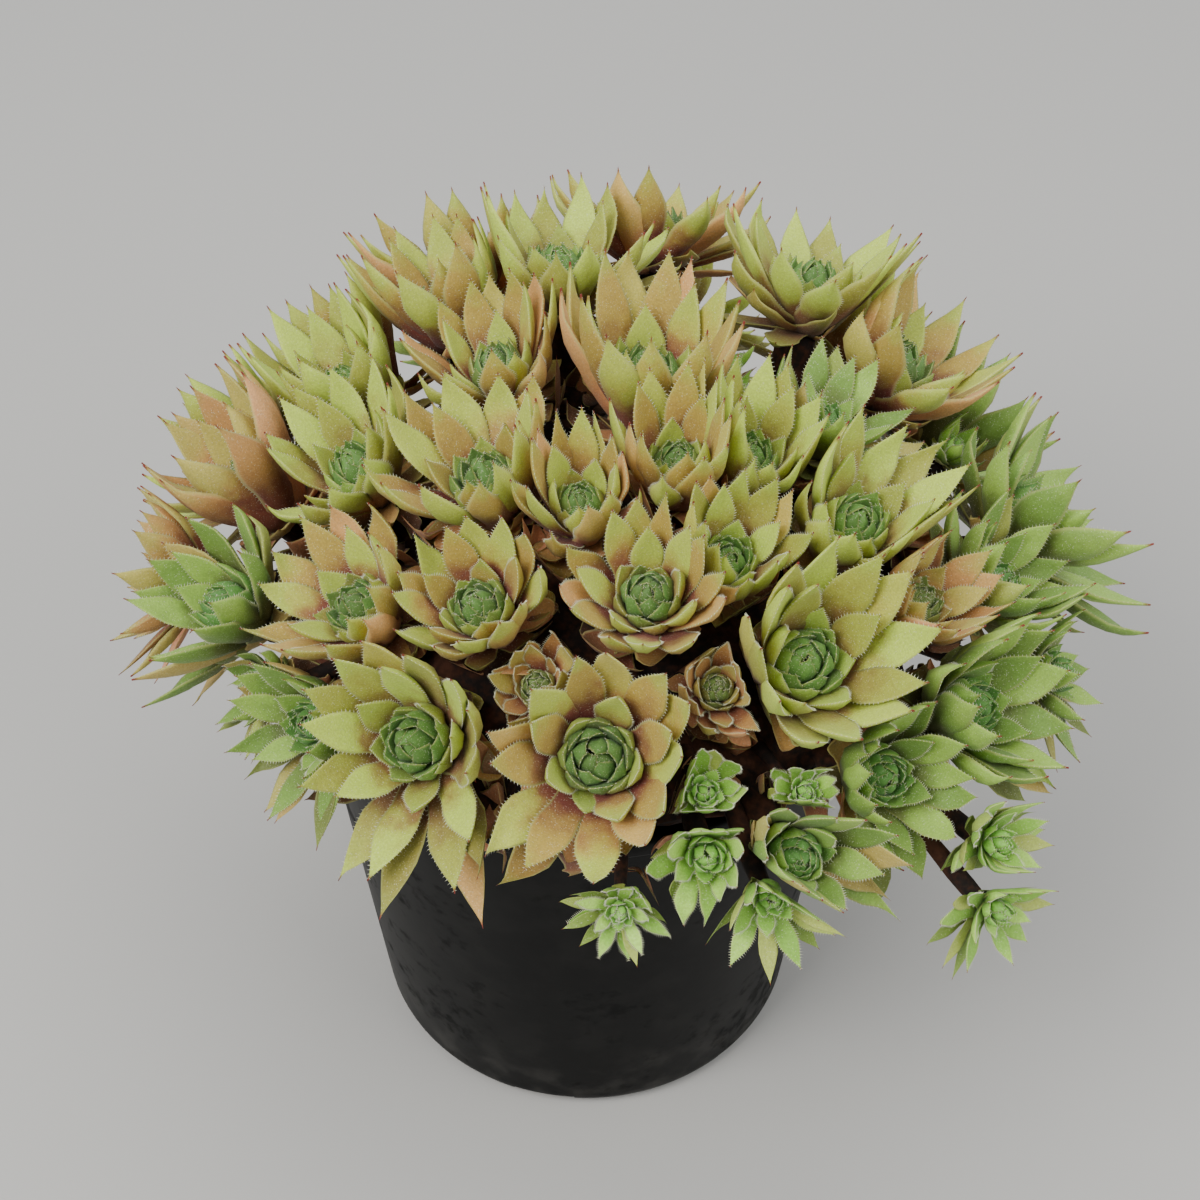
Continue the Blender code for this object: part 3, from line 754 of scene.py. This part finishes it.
class Shader:
    """A short way to place and join shader nodes in one tree."""

    def __init__(self, tree: bpy.types.NodeTree) -> None:
        """Keep the tree."""
        self.tree = tree

    def node(self, kind: str, settings: dict | None = None, **inputs: object) -> bpy.types.Node:
        """Place a node, set its properties and fill or link its inputs.

        Args:
            kind: the node's type name.
            settings: property values.
            inputs: socket values or other nodes' outputs, by socket name with _ for spaces.
        Returns:
            The node.
        """
        node = self.tree.nodes.new(kind)
        for key, value in (settings or {}).items():
            setattr(node, key, value)
        for key, value in inputs.items():
            label = key.replace("_", " ")
            socket = node.inputs[int(key[1:])] if key[1:].isdigit() else node.inputs[label]
            if isinstance(value, bpy.types.NodeSocket):
                self.tree.links.new(value, socket)
            else:
                socket.default_value = value
        return node

    def ramp(self, value: bpy.types.NodeSocket, low: object, high: object, to_low: float = 0.0,
             to_high: float = 1.0) -> bpy.types.NodeSocket:
        """Map a value smoothly from one range to another.

        Args:
            value: the socket to map.
            low: where the change starts, a value or a socket.
            high: where it ends, a value or a socket.
            to_low: the result at low.
            to_high: the result at high.
        Returns:
            The mapped value.
        """
        node = self.node("ShaderNodeMapRange", {"interpolation_type": "SMOOTHSTEP"}, Value=value,
                         From_Min=low, From_Max=high, To_Min=to_low, To_Max=to_high)
        return node.outputs["Result"]

    def mix(self, share: object, first: object, second: object, mode: str = "MIX") -> bpy.types.NodeSocket:
        """Mix two colours.

        Args:
            share: how much of the second, a value or a socket.
            first: the first colour.
            second: the second colour.
            mode: the blend type.
        Returns:
            The mixed colour.
        """
        node = self.node("ShaderNodeMix", {"data_type": "RGBA", "blend_type": mode},
                         i0=share, i6=first, i7=second)
        return node.outputs[2]

    def math(self, operation: str, first: object, second: object = 0.0,
             third: object = 0.0) -> bpy.types.NodeSocket:
        """Place one maths node and return its output."""
        return self.node("ShaderNodeMath", {"operation": operation}, i0=first, i1=second,
                         i2=third).outputs[0]

    def noise(self, scale: float, detail: float = 2.0) -> bpy.types.NodeSocket:
        """Read a noise of a given scale in the object's own metres."""
        place = self.node("ShaderNodeTexCoord").outputs["Object"]
        return self.node("ShaderNodeTexNoise", Vector=place, Scale=scale, Detail=detail).outputs["Fac"]

    def feed(self, node: bpy.types.Node, **sockets: bpy.types.NodeSocket) -> None:
        """Link outputs to a placed node's inputs, by socket name with _ for spaces."""
        for key, socket in sockets.items():
            self.tree.links.new(socket, node.inputs[key.replace("_", " ")])


def new_group(name: str, inputs: dict[str, str],
              outputs: dict[str, str]) -> tuple[Shader, bpy.types.Node, bpy.types.Node]:
    """Make a shader node group with named sockets.

    Args:
        name: the group's name.
        inputs: socket types by name.
        outputs: socket types by name.
    Returns:
        A shader on the group's tree, its input node and its output node.
    """
    tree = bpy.data.node_groups.new(name, "ShaderNodeTree")
    for label, kind in inputs.items():
        tree.interface.new_socket(name=label, in_out="INPUT", socket_type=kind)
    for label, kind in outputs.items():
        tree.interface.new_socket(name=label, in_out="OUTPUT", socket_type=kind)
    shader = Shader(tree)
    return shader, shader.node("NodeGroupInput"), shader.node("NodeGroupOutput")


# The sockets of the two groups, and the linear colours that every leaf or the pot shares
COLOUR_SOCKET = "NodeSocketColor"
FLOAT_SOCKET = "NodeSocketFloat"
LEAF_COLOURS = ("Root", "Middle", "Tip", "Heart", "Old", "Edge", "Point")
WITHERED = (0.105, 0.048, 0.022, 1.0)
SPECK = (0.72, 0.70, 0.52, 1.0)
SHADOW = (0.02, 0.012, 0.006, 1.0)
HAIR = (0.74, 0.74, 0.55, 1.0)
DUST = (0.026, 0.024, 0.021, 1.0)


def leaf_group() -> bpy.types.NodeTree:
    """Make the leaf's colouring: root to tip, heart, old leaves, pale edge, red point and velvet.

    Returns:
        The node group, which puts out a colour, a roughness and a height.
    """
    shader, source, result = new_group("leaf_tone", dict.fromkeys(LEAF_COLOURS, COLOUR_SOCKET),
                                       {"Color": COLOUR_SOCKET, "Roughness": FLOAT_SOCKET,
                                        "Height": FLOAT_SOCKET})
    own = source.outputs
    along, across, age, tint = [shader.node("ShaderNodeAttribute", {"attribute_name": label}).outputs["Fac"]
                                for label in VALUES]
    blotch = shader.noise(140.0, 3.0)
    fine = shader.noise(1700.0, 2.0)
    drifted = shader.math("ADD", along, shader.math("MULTIPLY_ADD", blotch, 0.5, -0.25))
    tone = shader.mix(shader.ramp(drifted, 0.26, 0.68), own["Root"], own["Middle"])
    greener = shader.math("ADD", drifted, shader.ramp(tint, 0.15, 0.95, -0.12, 0.34))
    tone = shader.mix(shader.ramp(greener, 0.60, 0.95), tone, own["Tip"])
    tone = shader.mix(shader.ramp(age, 0.34, 0.72, 0.0, 0.92), tone, own["Heart"])
    withered = shader.math("MULTIPLY", shader.ramp(age, -0.7, -0.1, 1.0, 0.0), 0.9)
    tone = shader.mix(withered, tone, WITHERED)
    aged = shader.math("MULTIPLY", shader.ramp(age, 0.02, 0.12, 1.0, 0.0),
                       shader.ramp(tint, 0.45, 0.85, 0.05, 0.85))
    tone = shader.mix(aged, tone, own["Old"])
    shade = shader.math("MULTIPLY_ADD", tint, 0.22, 0.86)
    speckle = shader.math("MULTIPLY", shade, shader.ramp(fine, 0.3, 0.7, 0.9, 1.12))
    grey = shader.node("ShaderNodeCombineColor", Red=speckle, Green=speckle, Blue=speckle)
    tone = shader.mix(1.0, tone, grey.outputs[0], "MULTIPLY")
    sparkle = shader.noise(2600.0, 0.0)
    tone = shader.mix(shader.ramp(sparkle, 0.71, 0.75, 0.0, 0.35), tone, SPECK)
    tone = shader.mix(shader.ramp(along, 0.0, 0.3, 0.72, 0.0), tone, SHADOW)
    side = shader.math("ABSOLUTE", across)
    edge = shader.math("MULTIPLY", shader.ramp(side, 0.84, 1.0), 0.55)
    tone = shader.mix(edge, tone, own["Edge"])
    point = shader.math("MULTIPLY", shader.ramp(along, 0.93, 0.985),
                        shader.ramp(age, 0.25, 0.5, 1.0, 0.15))
    tone = shader.mix(point, tone, own["Point"])
    tone = shader.mix(shader.ramp(side, 1.5, 1.9, 0.0, 0.9), tone, HAIR)
    shader.feed(result, Color=tone, Roughness=shader.ramp(fine, 0.62, 0.72, 0.62, 0.30),
                Height=shader.math("ADD", fine, shader.math("MULTIPLY", blotch, 1.5)))
    return shader.tree


def grain_group() -> bpy.types.NodeTree:
    """Make the grain that the pot, soil and wood share: two noises, a colour mix and a height.

    Returns:
        The node group.
    """
    inputs = dict.fromkeys(("Dark", "Pale"), COLOUR_SOCKET)
    inputs |= dict.fromkeys(("Coarse", "Fine", "Start", "End"), FLOAT_SOCKET)
    shader, source, result = new_group("grain", inputs, {"Color": COLOUR_SOCKET, "Mask": FLOAT_SOCKET,
                                                         "Height": FLOAT_SOCKET})
    own = source.outputs
    place = shader.node("ShaderNodeTexCoord").outputs["Object"]
    coarse = shader.node("ShaderNodeTexNoise", Vector=place, Scale=own["Coarse"], Detail=5.0)
    fine = shader.node("ShaderNodeTexNoise", Vector=place, Scale=own["Fine"], Detail=4.0)
    both = shader.math("MULTIPLY_ADD", fine.outputs["Fac"], 0.45,
                       shader.math("MULTIPLY", coarse.outputs["Fac"], 0.55))
    mask = shader.ramp(both, own["Start"], own["End"])
    shader.feed(result, Color=shader.mix(mask, own["Dark"], own["Pale"]), Mask=mask, Height=both)
    return shader.tree


def principled(name: str, roughness: float,
               sheen: float = 0.0) -> tuple[bpy.types.Material, Shader, bpy.types.Node]:
    """Start a material.

    Args:
        name: its name.
        roughness: the Principled shader's roughness.
        sheen: its sheen weight.
    Returns:
        The material, a shader on its tree and its Principled node.
    """
    material = bpy.data.materials.new(name)
    material.use_nodes = True
    main = material.node_tree.nodes["Principled BSDF"]
    main.inputs["Roughness"].default_value = roughness
    main.inputs["Sheen Weight"].default_value = sheen
    return material, Shader(material.node_tree), main


def leaf_material(finish: LeafFinish, group: bpy.types.NodeTree) -> bpy.types.Material:
    """Make the material of one leaf finish.

    Args:
        finish: its colours.
        group: the leaf_tone group.
    Returns:
        The material.
    """
    material, shader, main = principled(finish.slot, 0.55, 0.06)
    main.inputs["Specular IOR Level"].default_value = 0.35
    tone = shader.node("ShaderNodeGroup", {"node_tree": group})
    for label in LEAF_COLOURS:
        tone.inputs[label].default_value = linear(getattr(finish, label.lower()))
    bump = shader.node("ShaderNodeBump", Strength=0.35, Distance=0.4 * MM, Height=tone.outputs["Height"])
    shader.feed(main, Base_Color=tone.outputs["Color"], Roughness=tone.outputs["Roughness"],
                Normal=bump.outputs["Normal"])
    return material


@dataclass(frozen=True)
class GrainFinish:
    """A rough or moulded finish: two colours, the scales of its grain, and its bump.

    Dust, where there is some, thins out up to dust_height.
    """

    slot: str
    dark: Colour
    pale: Colour
    coarse: float
    fine: float
    start: float
    end: float
    roughness: float
    bump: float
    shine: float = 0.28
    dust_height: float = 0.0

    def material(self, group: bpy.types.NodeTree) -> bpy.types.Material:
        """Make the material, with its grain in the colour and the bump.

        Args:
            group: the grain group.
        Returns:
            The material.
        """
        material, shader, main = principled(self.slot, self.roughness)
        main.inputs["Specular IOR Level"].default_value = self.shine
        grain = shader.node("ShaderNodeGroup", {"node_tree": group}, Dark=linear(self.dark),
                            Pale=linear(self.pale), Coarse=self.coarse, Fine=self.fine,
                            Start=self.start, End=self.end)
        bump = shader.node("ShaderNodeBump", Strength=0.4, Distance=self.bump,
                           Height=grain.outputs["Height"])
        tone = grain.outputs["Color"]
        if self.dust_height:
            place = shader.node("ShaderNodeTexCoord").outputs["Object"]
            height = shader.node("ShaderNodeSeparateXYZ", Vector=place).outputs["Z"]
            dust = shader.math("MULTIPLY", shader.ramp(height, 0.0, self.dust_height, 0.9, 0.12),
                               shader.ramp(shader.noise(75.0, 6.0), 0.42, 0.66))
            tone = shader.mix(dust, tone, DUST)
        rough = shader.ramp(grain.outputs["Mask"], 0.0, 1.0, self.roughness, self.roughness + 0.3)
        shader.feed(main, Base_Color=tone, Roughness=rough, Normal=bump.outputs["Normal"])
        return material


GRAINS = {
    "pot": GrainFinish("pot", (2, 2, 2), (16, 16, 15), 26.0, 190.0, 0.50, 0.72, 0.42, 0.2 * MM, 0.10,
                       40 * MM),
    "soil": GrainFinish("soil", (38, 26, 18), (96, 70, 48), 120.0, 700.0, 0.42, 0.62, 0.9, 2 * MM),
    "rootstock": GrainFinish("rootstock", (24, 15, 11), (78, 48, 34), 90.0, 500.0, 0.40, 0.66, 0.8,
                             1.2 * MM),
}


@dataclass
class Pot:
    """The black nursery pot: a turned shell with a rolled rim and drain notches."""

    height: float = 155 * MM
    top_radius: float = 82.5 * MM
    base_radius: float = 68 * MM
    wall: float = 1.6 * MM
    floor: float = 2.5 * MM
    corner: float = 7 * MM
    rim_out: float = 3.4 * MM
    rim_drop: float = 6 * MM
    rim_tube: float = 2.0 * MM
    lip_round: float = 0.6 * MM
    hub: float = 1 * MM
    steps: int = 160
    notches: int = 6
    notch_width: float = 20 * MM
    notch_height: float = 5 * MM
    notch_first: float = -102.0
    sharp_angle: float = 40.0

    def wall_radius(self, height: float) -> float:
        """Return the wall's outer radius at a height."""
        return self.base_radius + (self.top_radius - self.base_radius) * height / self.height

    def profile(self) -> np.ndarray:
        """Give the closed outline in radius and height, from the rim down the outside and back up.

        Returns:
            An (n, 2) array that starts and ends near the axis inside the floor.
        """
        def arc(x: float, z: float, radius: float, start: float, end: float, count: int) -> np.ndarray:
            """Return points on an arc about (x, z), from one angle to another in degrees."""
            angle = np.radians(np.linspace(start, end, count))
            return np.column_stack([x + radius * np.cos(angle), z + radius * np.sin(angle)])

        lip = self.top_radius + self.rim_out
        drop = self.height - self.rim_drop
        corner = self.base_radius - self.corner
        outside = self.wall_radius(drop)
        heights = np.linspace(drop, self.corner, 14)
        walls = np.column_stack([outside + (self.base_radius - outside) * (drop - heights)
                                 / (drop - self.corner), heights])
        inside = self.corner - self.wall
        rows = [arc(lip - self.rim_tube, self.height - self.rim_tube, self.rim_tube, 90, 0, 7),
                arc(lip - self.lip_round, drop + self.lip_round, self.lip_round, 0, -90, 4), walls,
                arc(corner, self.corner, self.corner, 0, -90, 9)[1:], [(self.hub, 0.0)],
                [(self.hub, self.floor)], arc(corner, self.corner, inside, -60, 0, 6),
                [(self.top_radius - self.wall, self.height - 1.5 * self.rim_tube)],
                arc(self.top_radius - self.wall + self.rim_tube, self.height - self.rim_tube,
                    self.rim_tube, 175, 100, 5)]
        return np.concatenate([np.asarray(row, float) for row in rows])

    def build(self, material: bpy.types.Material) -> bpy.types.Object:
        """Turn the outline about Z and cut the notches through the bottom corner.

        The point at outline place i and angle a is (r cos a, r sin a, z).

        Args:
            material: the pot's finish.
        Returns:
            The finished piece.
        """
        outline = self.profile()
        angle = circle(self.steps)
        radius, height = outline[:, :1], outline[:, 1:]
        points = np.stack([radius * np.cos(angle), radius * np.sin(angle),
                           height + 0 * angle], -1).reshape(-1, 3)
        rows = np.arange(len(outline))[:, None] * self.steps
        below = np.roll(rows, -1, axis=0)
        ring = np.arange(self.steps)
        after = (ring + 1) % self.steps
        quads = np.stack([rows + ring, below + ring, below + after, rows + after], -1).reshape(-1, 4)
        surface = Surface()
        surface.add(points, quads)
        item = surface.build("nursery_pot", material)
        for index in range(self.notches):
            turn = np.radians(self.notch_first + index * 360.0 / self.notches)
            bpy.ops.mesh.primitive_cube_add(size=1.0)
            cutter = bpy.context.object
            cutter.scale = (4 * self.corner, self.notch_width, 2 * self.notch_height)
            reach = self.base_radius + self.corner
            cutter.location = (reach * np.cos(turn), reach * np.sin(turn), 0.0)
            cutter.rotation_euler = (0.0, 0.0, turn)
            bpy.context.view_layer.update()
            cut = item.modifiers.new("notch", "BOOLEAN")
            cut.operation = "DIFFERENCE"
            cut.object = cutter
            graph = bpy.context.evaluated_depsgraph_get()
            mesh = bpy.data.meshes.new_from_object(item.evaluated_get(graph))
            item.modifiers.clear()
            item.data = mesh
            bpy.data.objects.remove(cutter, do_unlink=True)
        item.data.set_sharp_from_angle(angle=np.radians(self.sharp_angle))
        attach(item, "root")
        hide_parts("pot")
        return item


@dataclass
class Rootstock:
    """The woody crown, the stems to the rosettes and the dry leaves between them.

    The dry leaves' sizes are ranges that a seeded draw is made from.
    """

    mound: Mound
    rosettes: list[Rosette]
    stem_width: float = 0.13
    stem_bend: float = 0.25
    stem_gap: float = 0.3 * MM
    stem_swell: float = 0.12
    stem_sink: float = 9 * MM
    knee_share: float = 0.6
    over_rim: float = 172 * MM
    straight_above: float = 163 * MM
    soil_top: float = 143.3 * MM
    neck: float = 71.9 * MM
    crown_rings: int = 40
    crown_slide: float = 0.8
    slide_height: float = 6 * MM
    lump_size: float = 0.012
    lumps: tuple[tuple[float, float], ...] = ((9, 200), (17, -330), (29, 500))
    dry_leaves: int = 640
    dry_rise: tuple[float, float] = (0.22, 0.99)
    dry_out: tuple[float, float] = (0.76, 0.81)
    dry_mm: tuple[float, float] = (16, 30)
    dry_lean: tuple[float, float] = (0.7, 1.5)
    dry_curl: tuple[float, float] = (-0.3, 0.6)
    dry_age: tuple[float, float] = (-1.0, -0.25)
    dry_width: float = 0.18
    dry_plump: float = 0.35
    seed: int = 11

    def path(self, plant: Rosette) -> np.ndarray:
        """Give the stem's line to one rosette, bent up over the rim where it has to be.

        Args:
            plant: the rosette.
        Returns:
            Its points from the crown outwards.
        """
        top = plant.base - plant.axis * self.stem_gap
        offset = top - self.mound.centre
        radii = np.array([self.mound.crown_radius] * 2 + [self.mound.crown_top - self.mound.centre[2]])
        size = max(np.sqrt(((offset / radii) ** 2).sum()), 1.0)
        surface = self.mound.centre + offset / size
        foot = top - plant.axis * (self.stem_sink + np.linalg.norm(top - surface))
        if foot[2] >= self.straight_above:
            return np.array([foot, top])
        knee = top - plant.axis * self.stem_bend * plant.leaf
        foot = self.mound.centre + (knee - self.mound.centre) * self.knee_share
        foot[2] = self.over_rim
        return np.array([foot, knee, top])

    def add_stem(self, surface: Surface, plant: Rosette, sides: int = 10, rings: int = 9) -> None:
        """Add one stem: a circle carried along a bent line through the path's points.

        Args:
            surface: the surface that it is added to.
            plant: the rosette that it carries.
            sides: points round it.
            rings: rings along it.
        """
        path = self.path(plant)
        t = np.linspace(0, 1, rings)[:, None]
        if len(path) == 2:
            line = path[0] + (path[1] - path[0]) * t
        else:
            line = (1 - t) ** 2 * path[0] + 2 * t * (1 - t) * path[1] + t ** 2 * path[2]
        ahead = unit(np.gradient(line, axis=0))
        one = unit(np.cross(ahead, plant.side))
        two = np.cross(ahead, one)
        radius = self.stem_width * plant.leaf * (1 + self.stem_swell * np.sin(9 * t + plant.index))
        ring = turned(circle(sides), one[:, None], two[:, None])
        surface.add_tube(line[:, None] + ring * radius[:, None], [line[0], line[-1]])

    def add_crown(self, surface: Surface, steps: int = 120) -> None:
        """Add the crown: its outline turned about an axis that slides to the mound's, made lumpy.

        Above the rim the radius is multiplied by 1 plus a sum of three sine waves in angle and height.

        Args:
            surface: the surface that it is added to.
            steps: points round it.
        """
        top, rim, radius = self.mound.crown_top, self.mound.pot_height, self.mound.crown_radius
        outline = np.array([(12 * MM, top - 0.5 * MM), (32 * MM, top - 4 * MM), (60 * MM, top - 14 * MM),
                            (80 * MM, top - 27 * MM), (radius, rim + 7 * MM),
                            (radius - 4 * MM, rim + 2 * MM), (self.neck, rim + MM),
                            (self.neck - 2 * MM, self.soil_top)])
        at = np.linspace(0, len(outline) - 1, self.crown_rings)
        r, z = (np.interp(at, np.arange(len(outline)), column)[:, None] for column in outline.T)
        a = circle(steps)[None]
        lump = 1 + self.lump_size * sum(np.sin(round_it * a + up_it * z) for round_it, up_it in self.lumps)
        lump = np.where(z > rim + 3 * MM, lump, 1.0)
        slide = self.crown_slide * np.clip((z - rim - MM) / self.slide_height, 0, 1)
        points = np.stack([r * lump * np.cos(a) + self.mound.centre[0] * slide,
                           r * lump * np.sin(a) + self.mound.centre[1] * slide, z + 0 * a], -1)
        surface.add_tube(points, [points[0].mean(0), points[-1].mean(0)], step=-1)

    def build_wood(self, material: bpy.types.Material) -> bpy.types.Object:
        """Make the crown and the stems as one piece that stands for the rootstock.

        Args:
            material: the finish of the wood.
        Returns:
            The finished piece.
        """
        surface = Surface()
        self.add_crown(surface)
        for plant in self.rosettes:
            self.add_stem(surface, plant)
        item = surface.build("rootstock_wood", material)
        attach(item, "root")
        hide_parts("rootstock")
        return item

    def build_litter(self, material: bpy.types.Material) -> bpy.types.Object:
        """Make the dry leaves: small curled blades strewn over the crown by a seeded draw.

        Each starts on the crown at a random angle and leans out between the rosettes.

        Args:
            material: the finish of dry leaves.
        Returns:
            The finished piece.
        """
        random = np.random.default_rng(self.seed)
        surface = Surface()
        hearts = np.array([plant.heart for plant in self.rosettes])
        for _ in range(self.dry_leaves):
            tilt = np.degrees(np.arccos(random.uniform(*self.dry_rise)))
            start = self.mound.heart(random.uniform(0, 360), tilt, random.uniform(*self.dry_out))
            owner = self.rosettes[int(np.linalg.norm(hearts - start, axis=1).argmin())]
            axis = self.mound.normal(start, 1.0)
            out = unit(np.cross(axis, random.normal(size=3)))
            length = random.uniform(*self.dry_mm) * MM
            leaf = Leaf(start, out, axis, length, self.dry_width * length,
                        random.uniform(*self.dry_lean), random.uniform(*self.dry_curl),
                        random.uniform(*self.dry_age), random.uniform(0, 1), self.dry_plump)
            owner.add_leaf(surface, leaf)
        item = surface.build("dry_leaves", material)
        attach(item, "root")
        return item


# The studio's lights: name, place, power in watts and size; and the linear colour of its sky
LIGHTS = (("key", (-0.9, -0.8, 1.5), 30.0, 0.9), ("fill", (1.3, -0.7, 1.0), 15.0, 1.4),
          ("top", (0.1, 0.5, 1.8), 14.0, 1.6))
SKY = (0.86, 0.92, 1.0, 1.0)


@dataclass(frozen=True)
class Studio:
    """The pale floor, the soft lights and the camera at the photograph's angle, in degrees."""

    focal: float = 66.0
    sensor: float = 36.0
    distance: float = 0.706
    elevation: float = 49.5
    pitch: float = 4.8
    yaw: float = 0.4
    roll: float = -0.3
    target: float = 0.08
    lights_at: float = 0.15
    floor_size: float = 6.0
    floor_colour: Colour = (178, 175, 169)
    sky_strength: float = 0.75

    def build_floor(self) -> None:
        """Lay a wide plain floor under the pot."""
        bpy.ops.mesh.primitive_plane_add(size=self.floor_size)
        floor = bpy.context.object
        floor.name = "studio_floor"
        material, _, main = principled("studio_floor", 0.9)
        main.inputs["Base Color"].default_value = linear(self.floor_colour)
        floor.data.materials.append(material)

    def build_lights(self) -> None:
        """Hang a large key light, a fill and a top light, with a pale sky."""
        for name, place, power, size in LIGHTS:
            data = bpy.data.lights.new(name, "AREA")
            data.energy = power
            data.size = size
            lamp = bpy.data.objects.new(name, data)
            bpy.context.scene.collection.objects.link(lamp)
            lamp.location = place
            aim = self.lights_at * UP - np.array(place)
            lamp.rotation_euler = Vector(aim).to_track_quat("-Z", "Y").to_euler()
        world = bpy.data.worlds.new("studio_sky")
        bpy.context.scene.world = world
        world.use_nodes = True
        sky = world.node_tree.nodes["Background"]
        sky.inputs["Color"].default_value = SKY
        sky.inputs["Strength"].default_value = self.sky_strength

    def build_camera(self) -> None:
        """Set the camera back from a point on the pot's axis, then turn it by its small angles."""
        rise, pitch, yaw, roll = np.radians([self.elevation, self.pitch, self.yaw, self.roll])
        back = np.array([0.0, -np.cos(rise), np.sin(rise)])
        right = np.array([1.0, 0.0, 0.0])
        up = np.cross(right, -back)
        look = -back * np.cos(yaw) + right * np.sin(yaw)
        right = right * np.cos(yaw) + back * np.sin(yaw)
        ahead = look * np.cos(pitch) + up * np.sin(pitch)
        above = up * np.cos(pitch) - look * np.sin(pitch)
        side = right * np.cos(roll) + above * np.sin(roll)
        above = above * np.cos(roll) - right * np.sin(roll)
        data = bpy.data.cameras.new("photo_view")
        data.lens = self.focal
        data.sensor_width = self.sensor
        camera = bpy.data.objects.new("photo_view", data)
        bpy.context.scene.collection.objects.link(camera)
        turn = Matrix(np.column_stack([side, above, -ahead]).tolist()).to_4x4()
        place = back * self.distance + self.target * UP
        camera.matrix_world = Matrix.Translation(place.tolist()) @ turn
        bpy.context.scene.camera = camera


def main() -> None:
    """Build the studio, the pot, the wood and every rosette, and report each piece."""
    logging.basicConfig(level=logging.INFO, format="%(name)s: %(message)s")
    studio = Studio()
    studio.build_camera()
    studio.build_floor()
    studio.build_lights()
    tone, grain = leaf_group(), grain_group()
    leaves = {name: leaf_material(finish, tone) for name, finish in FINISHES.items()}
    grains = {name: finish.material(grain) for name, finish in GRAINS.items()}
    mound = Mound()
    rosettes = [Rosette(*row, index, mound) for index, row in enumerate(ROSETTES)]
    for plant in rosettes:
        plant.meet(rosettes)
        plant.lean_out()
    pieces = [Pot().build(grains["pot"])]
    rootstock = Rootstock(mound, rosettes)
    pieces.append(rootstock.build_wood(grains["rootstock"]))
    pieces.append(rootstock.build_litter(leaves["tan"]))
    pieces += [plant.build(leaves[plant.finish]) for plant in rosettes]
    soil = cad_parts["soil"]
    soil.data.materials.clear()
    soil.data.materials.append(grains["soil"])
    for piece in pieces:
        LOG.info("%s: %d faces", piece.name, len(piece.data.polygons))
    total = sum(len(polygon.vertices) - 2 for piece in pieces for polygon in piece.data.polygons)
    LOG.info("%d triangles in all", total)
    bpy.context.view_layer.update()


if __name__ == "__main__":
    main()
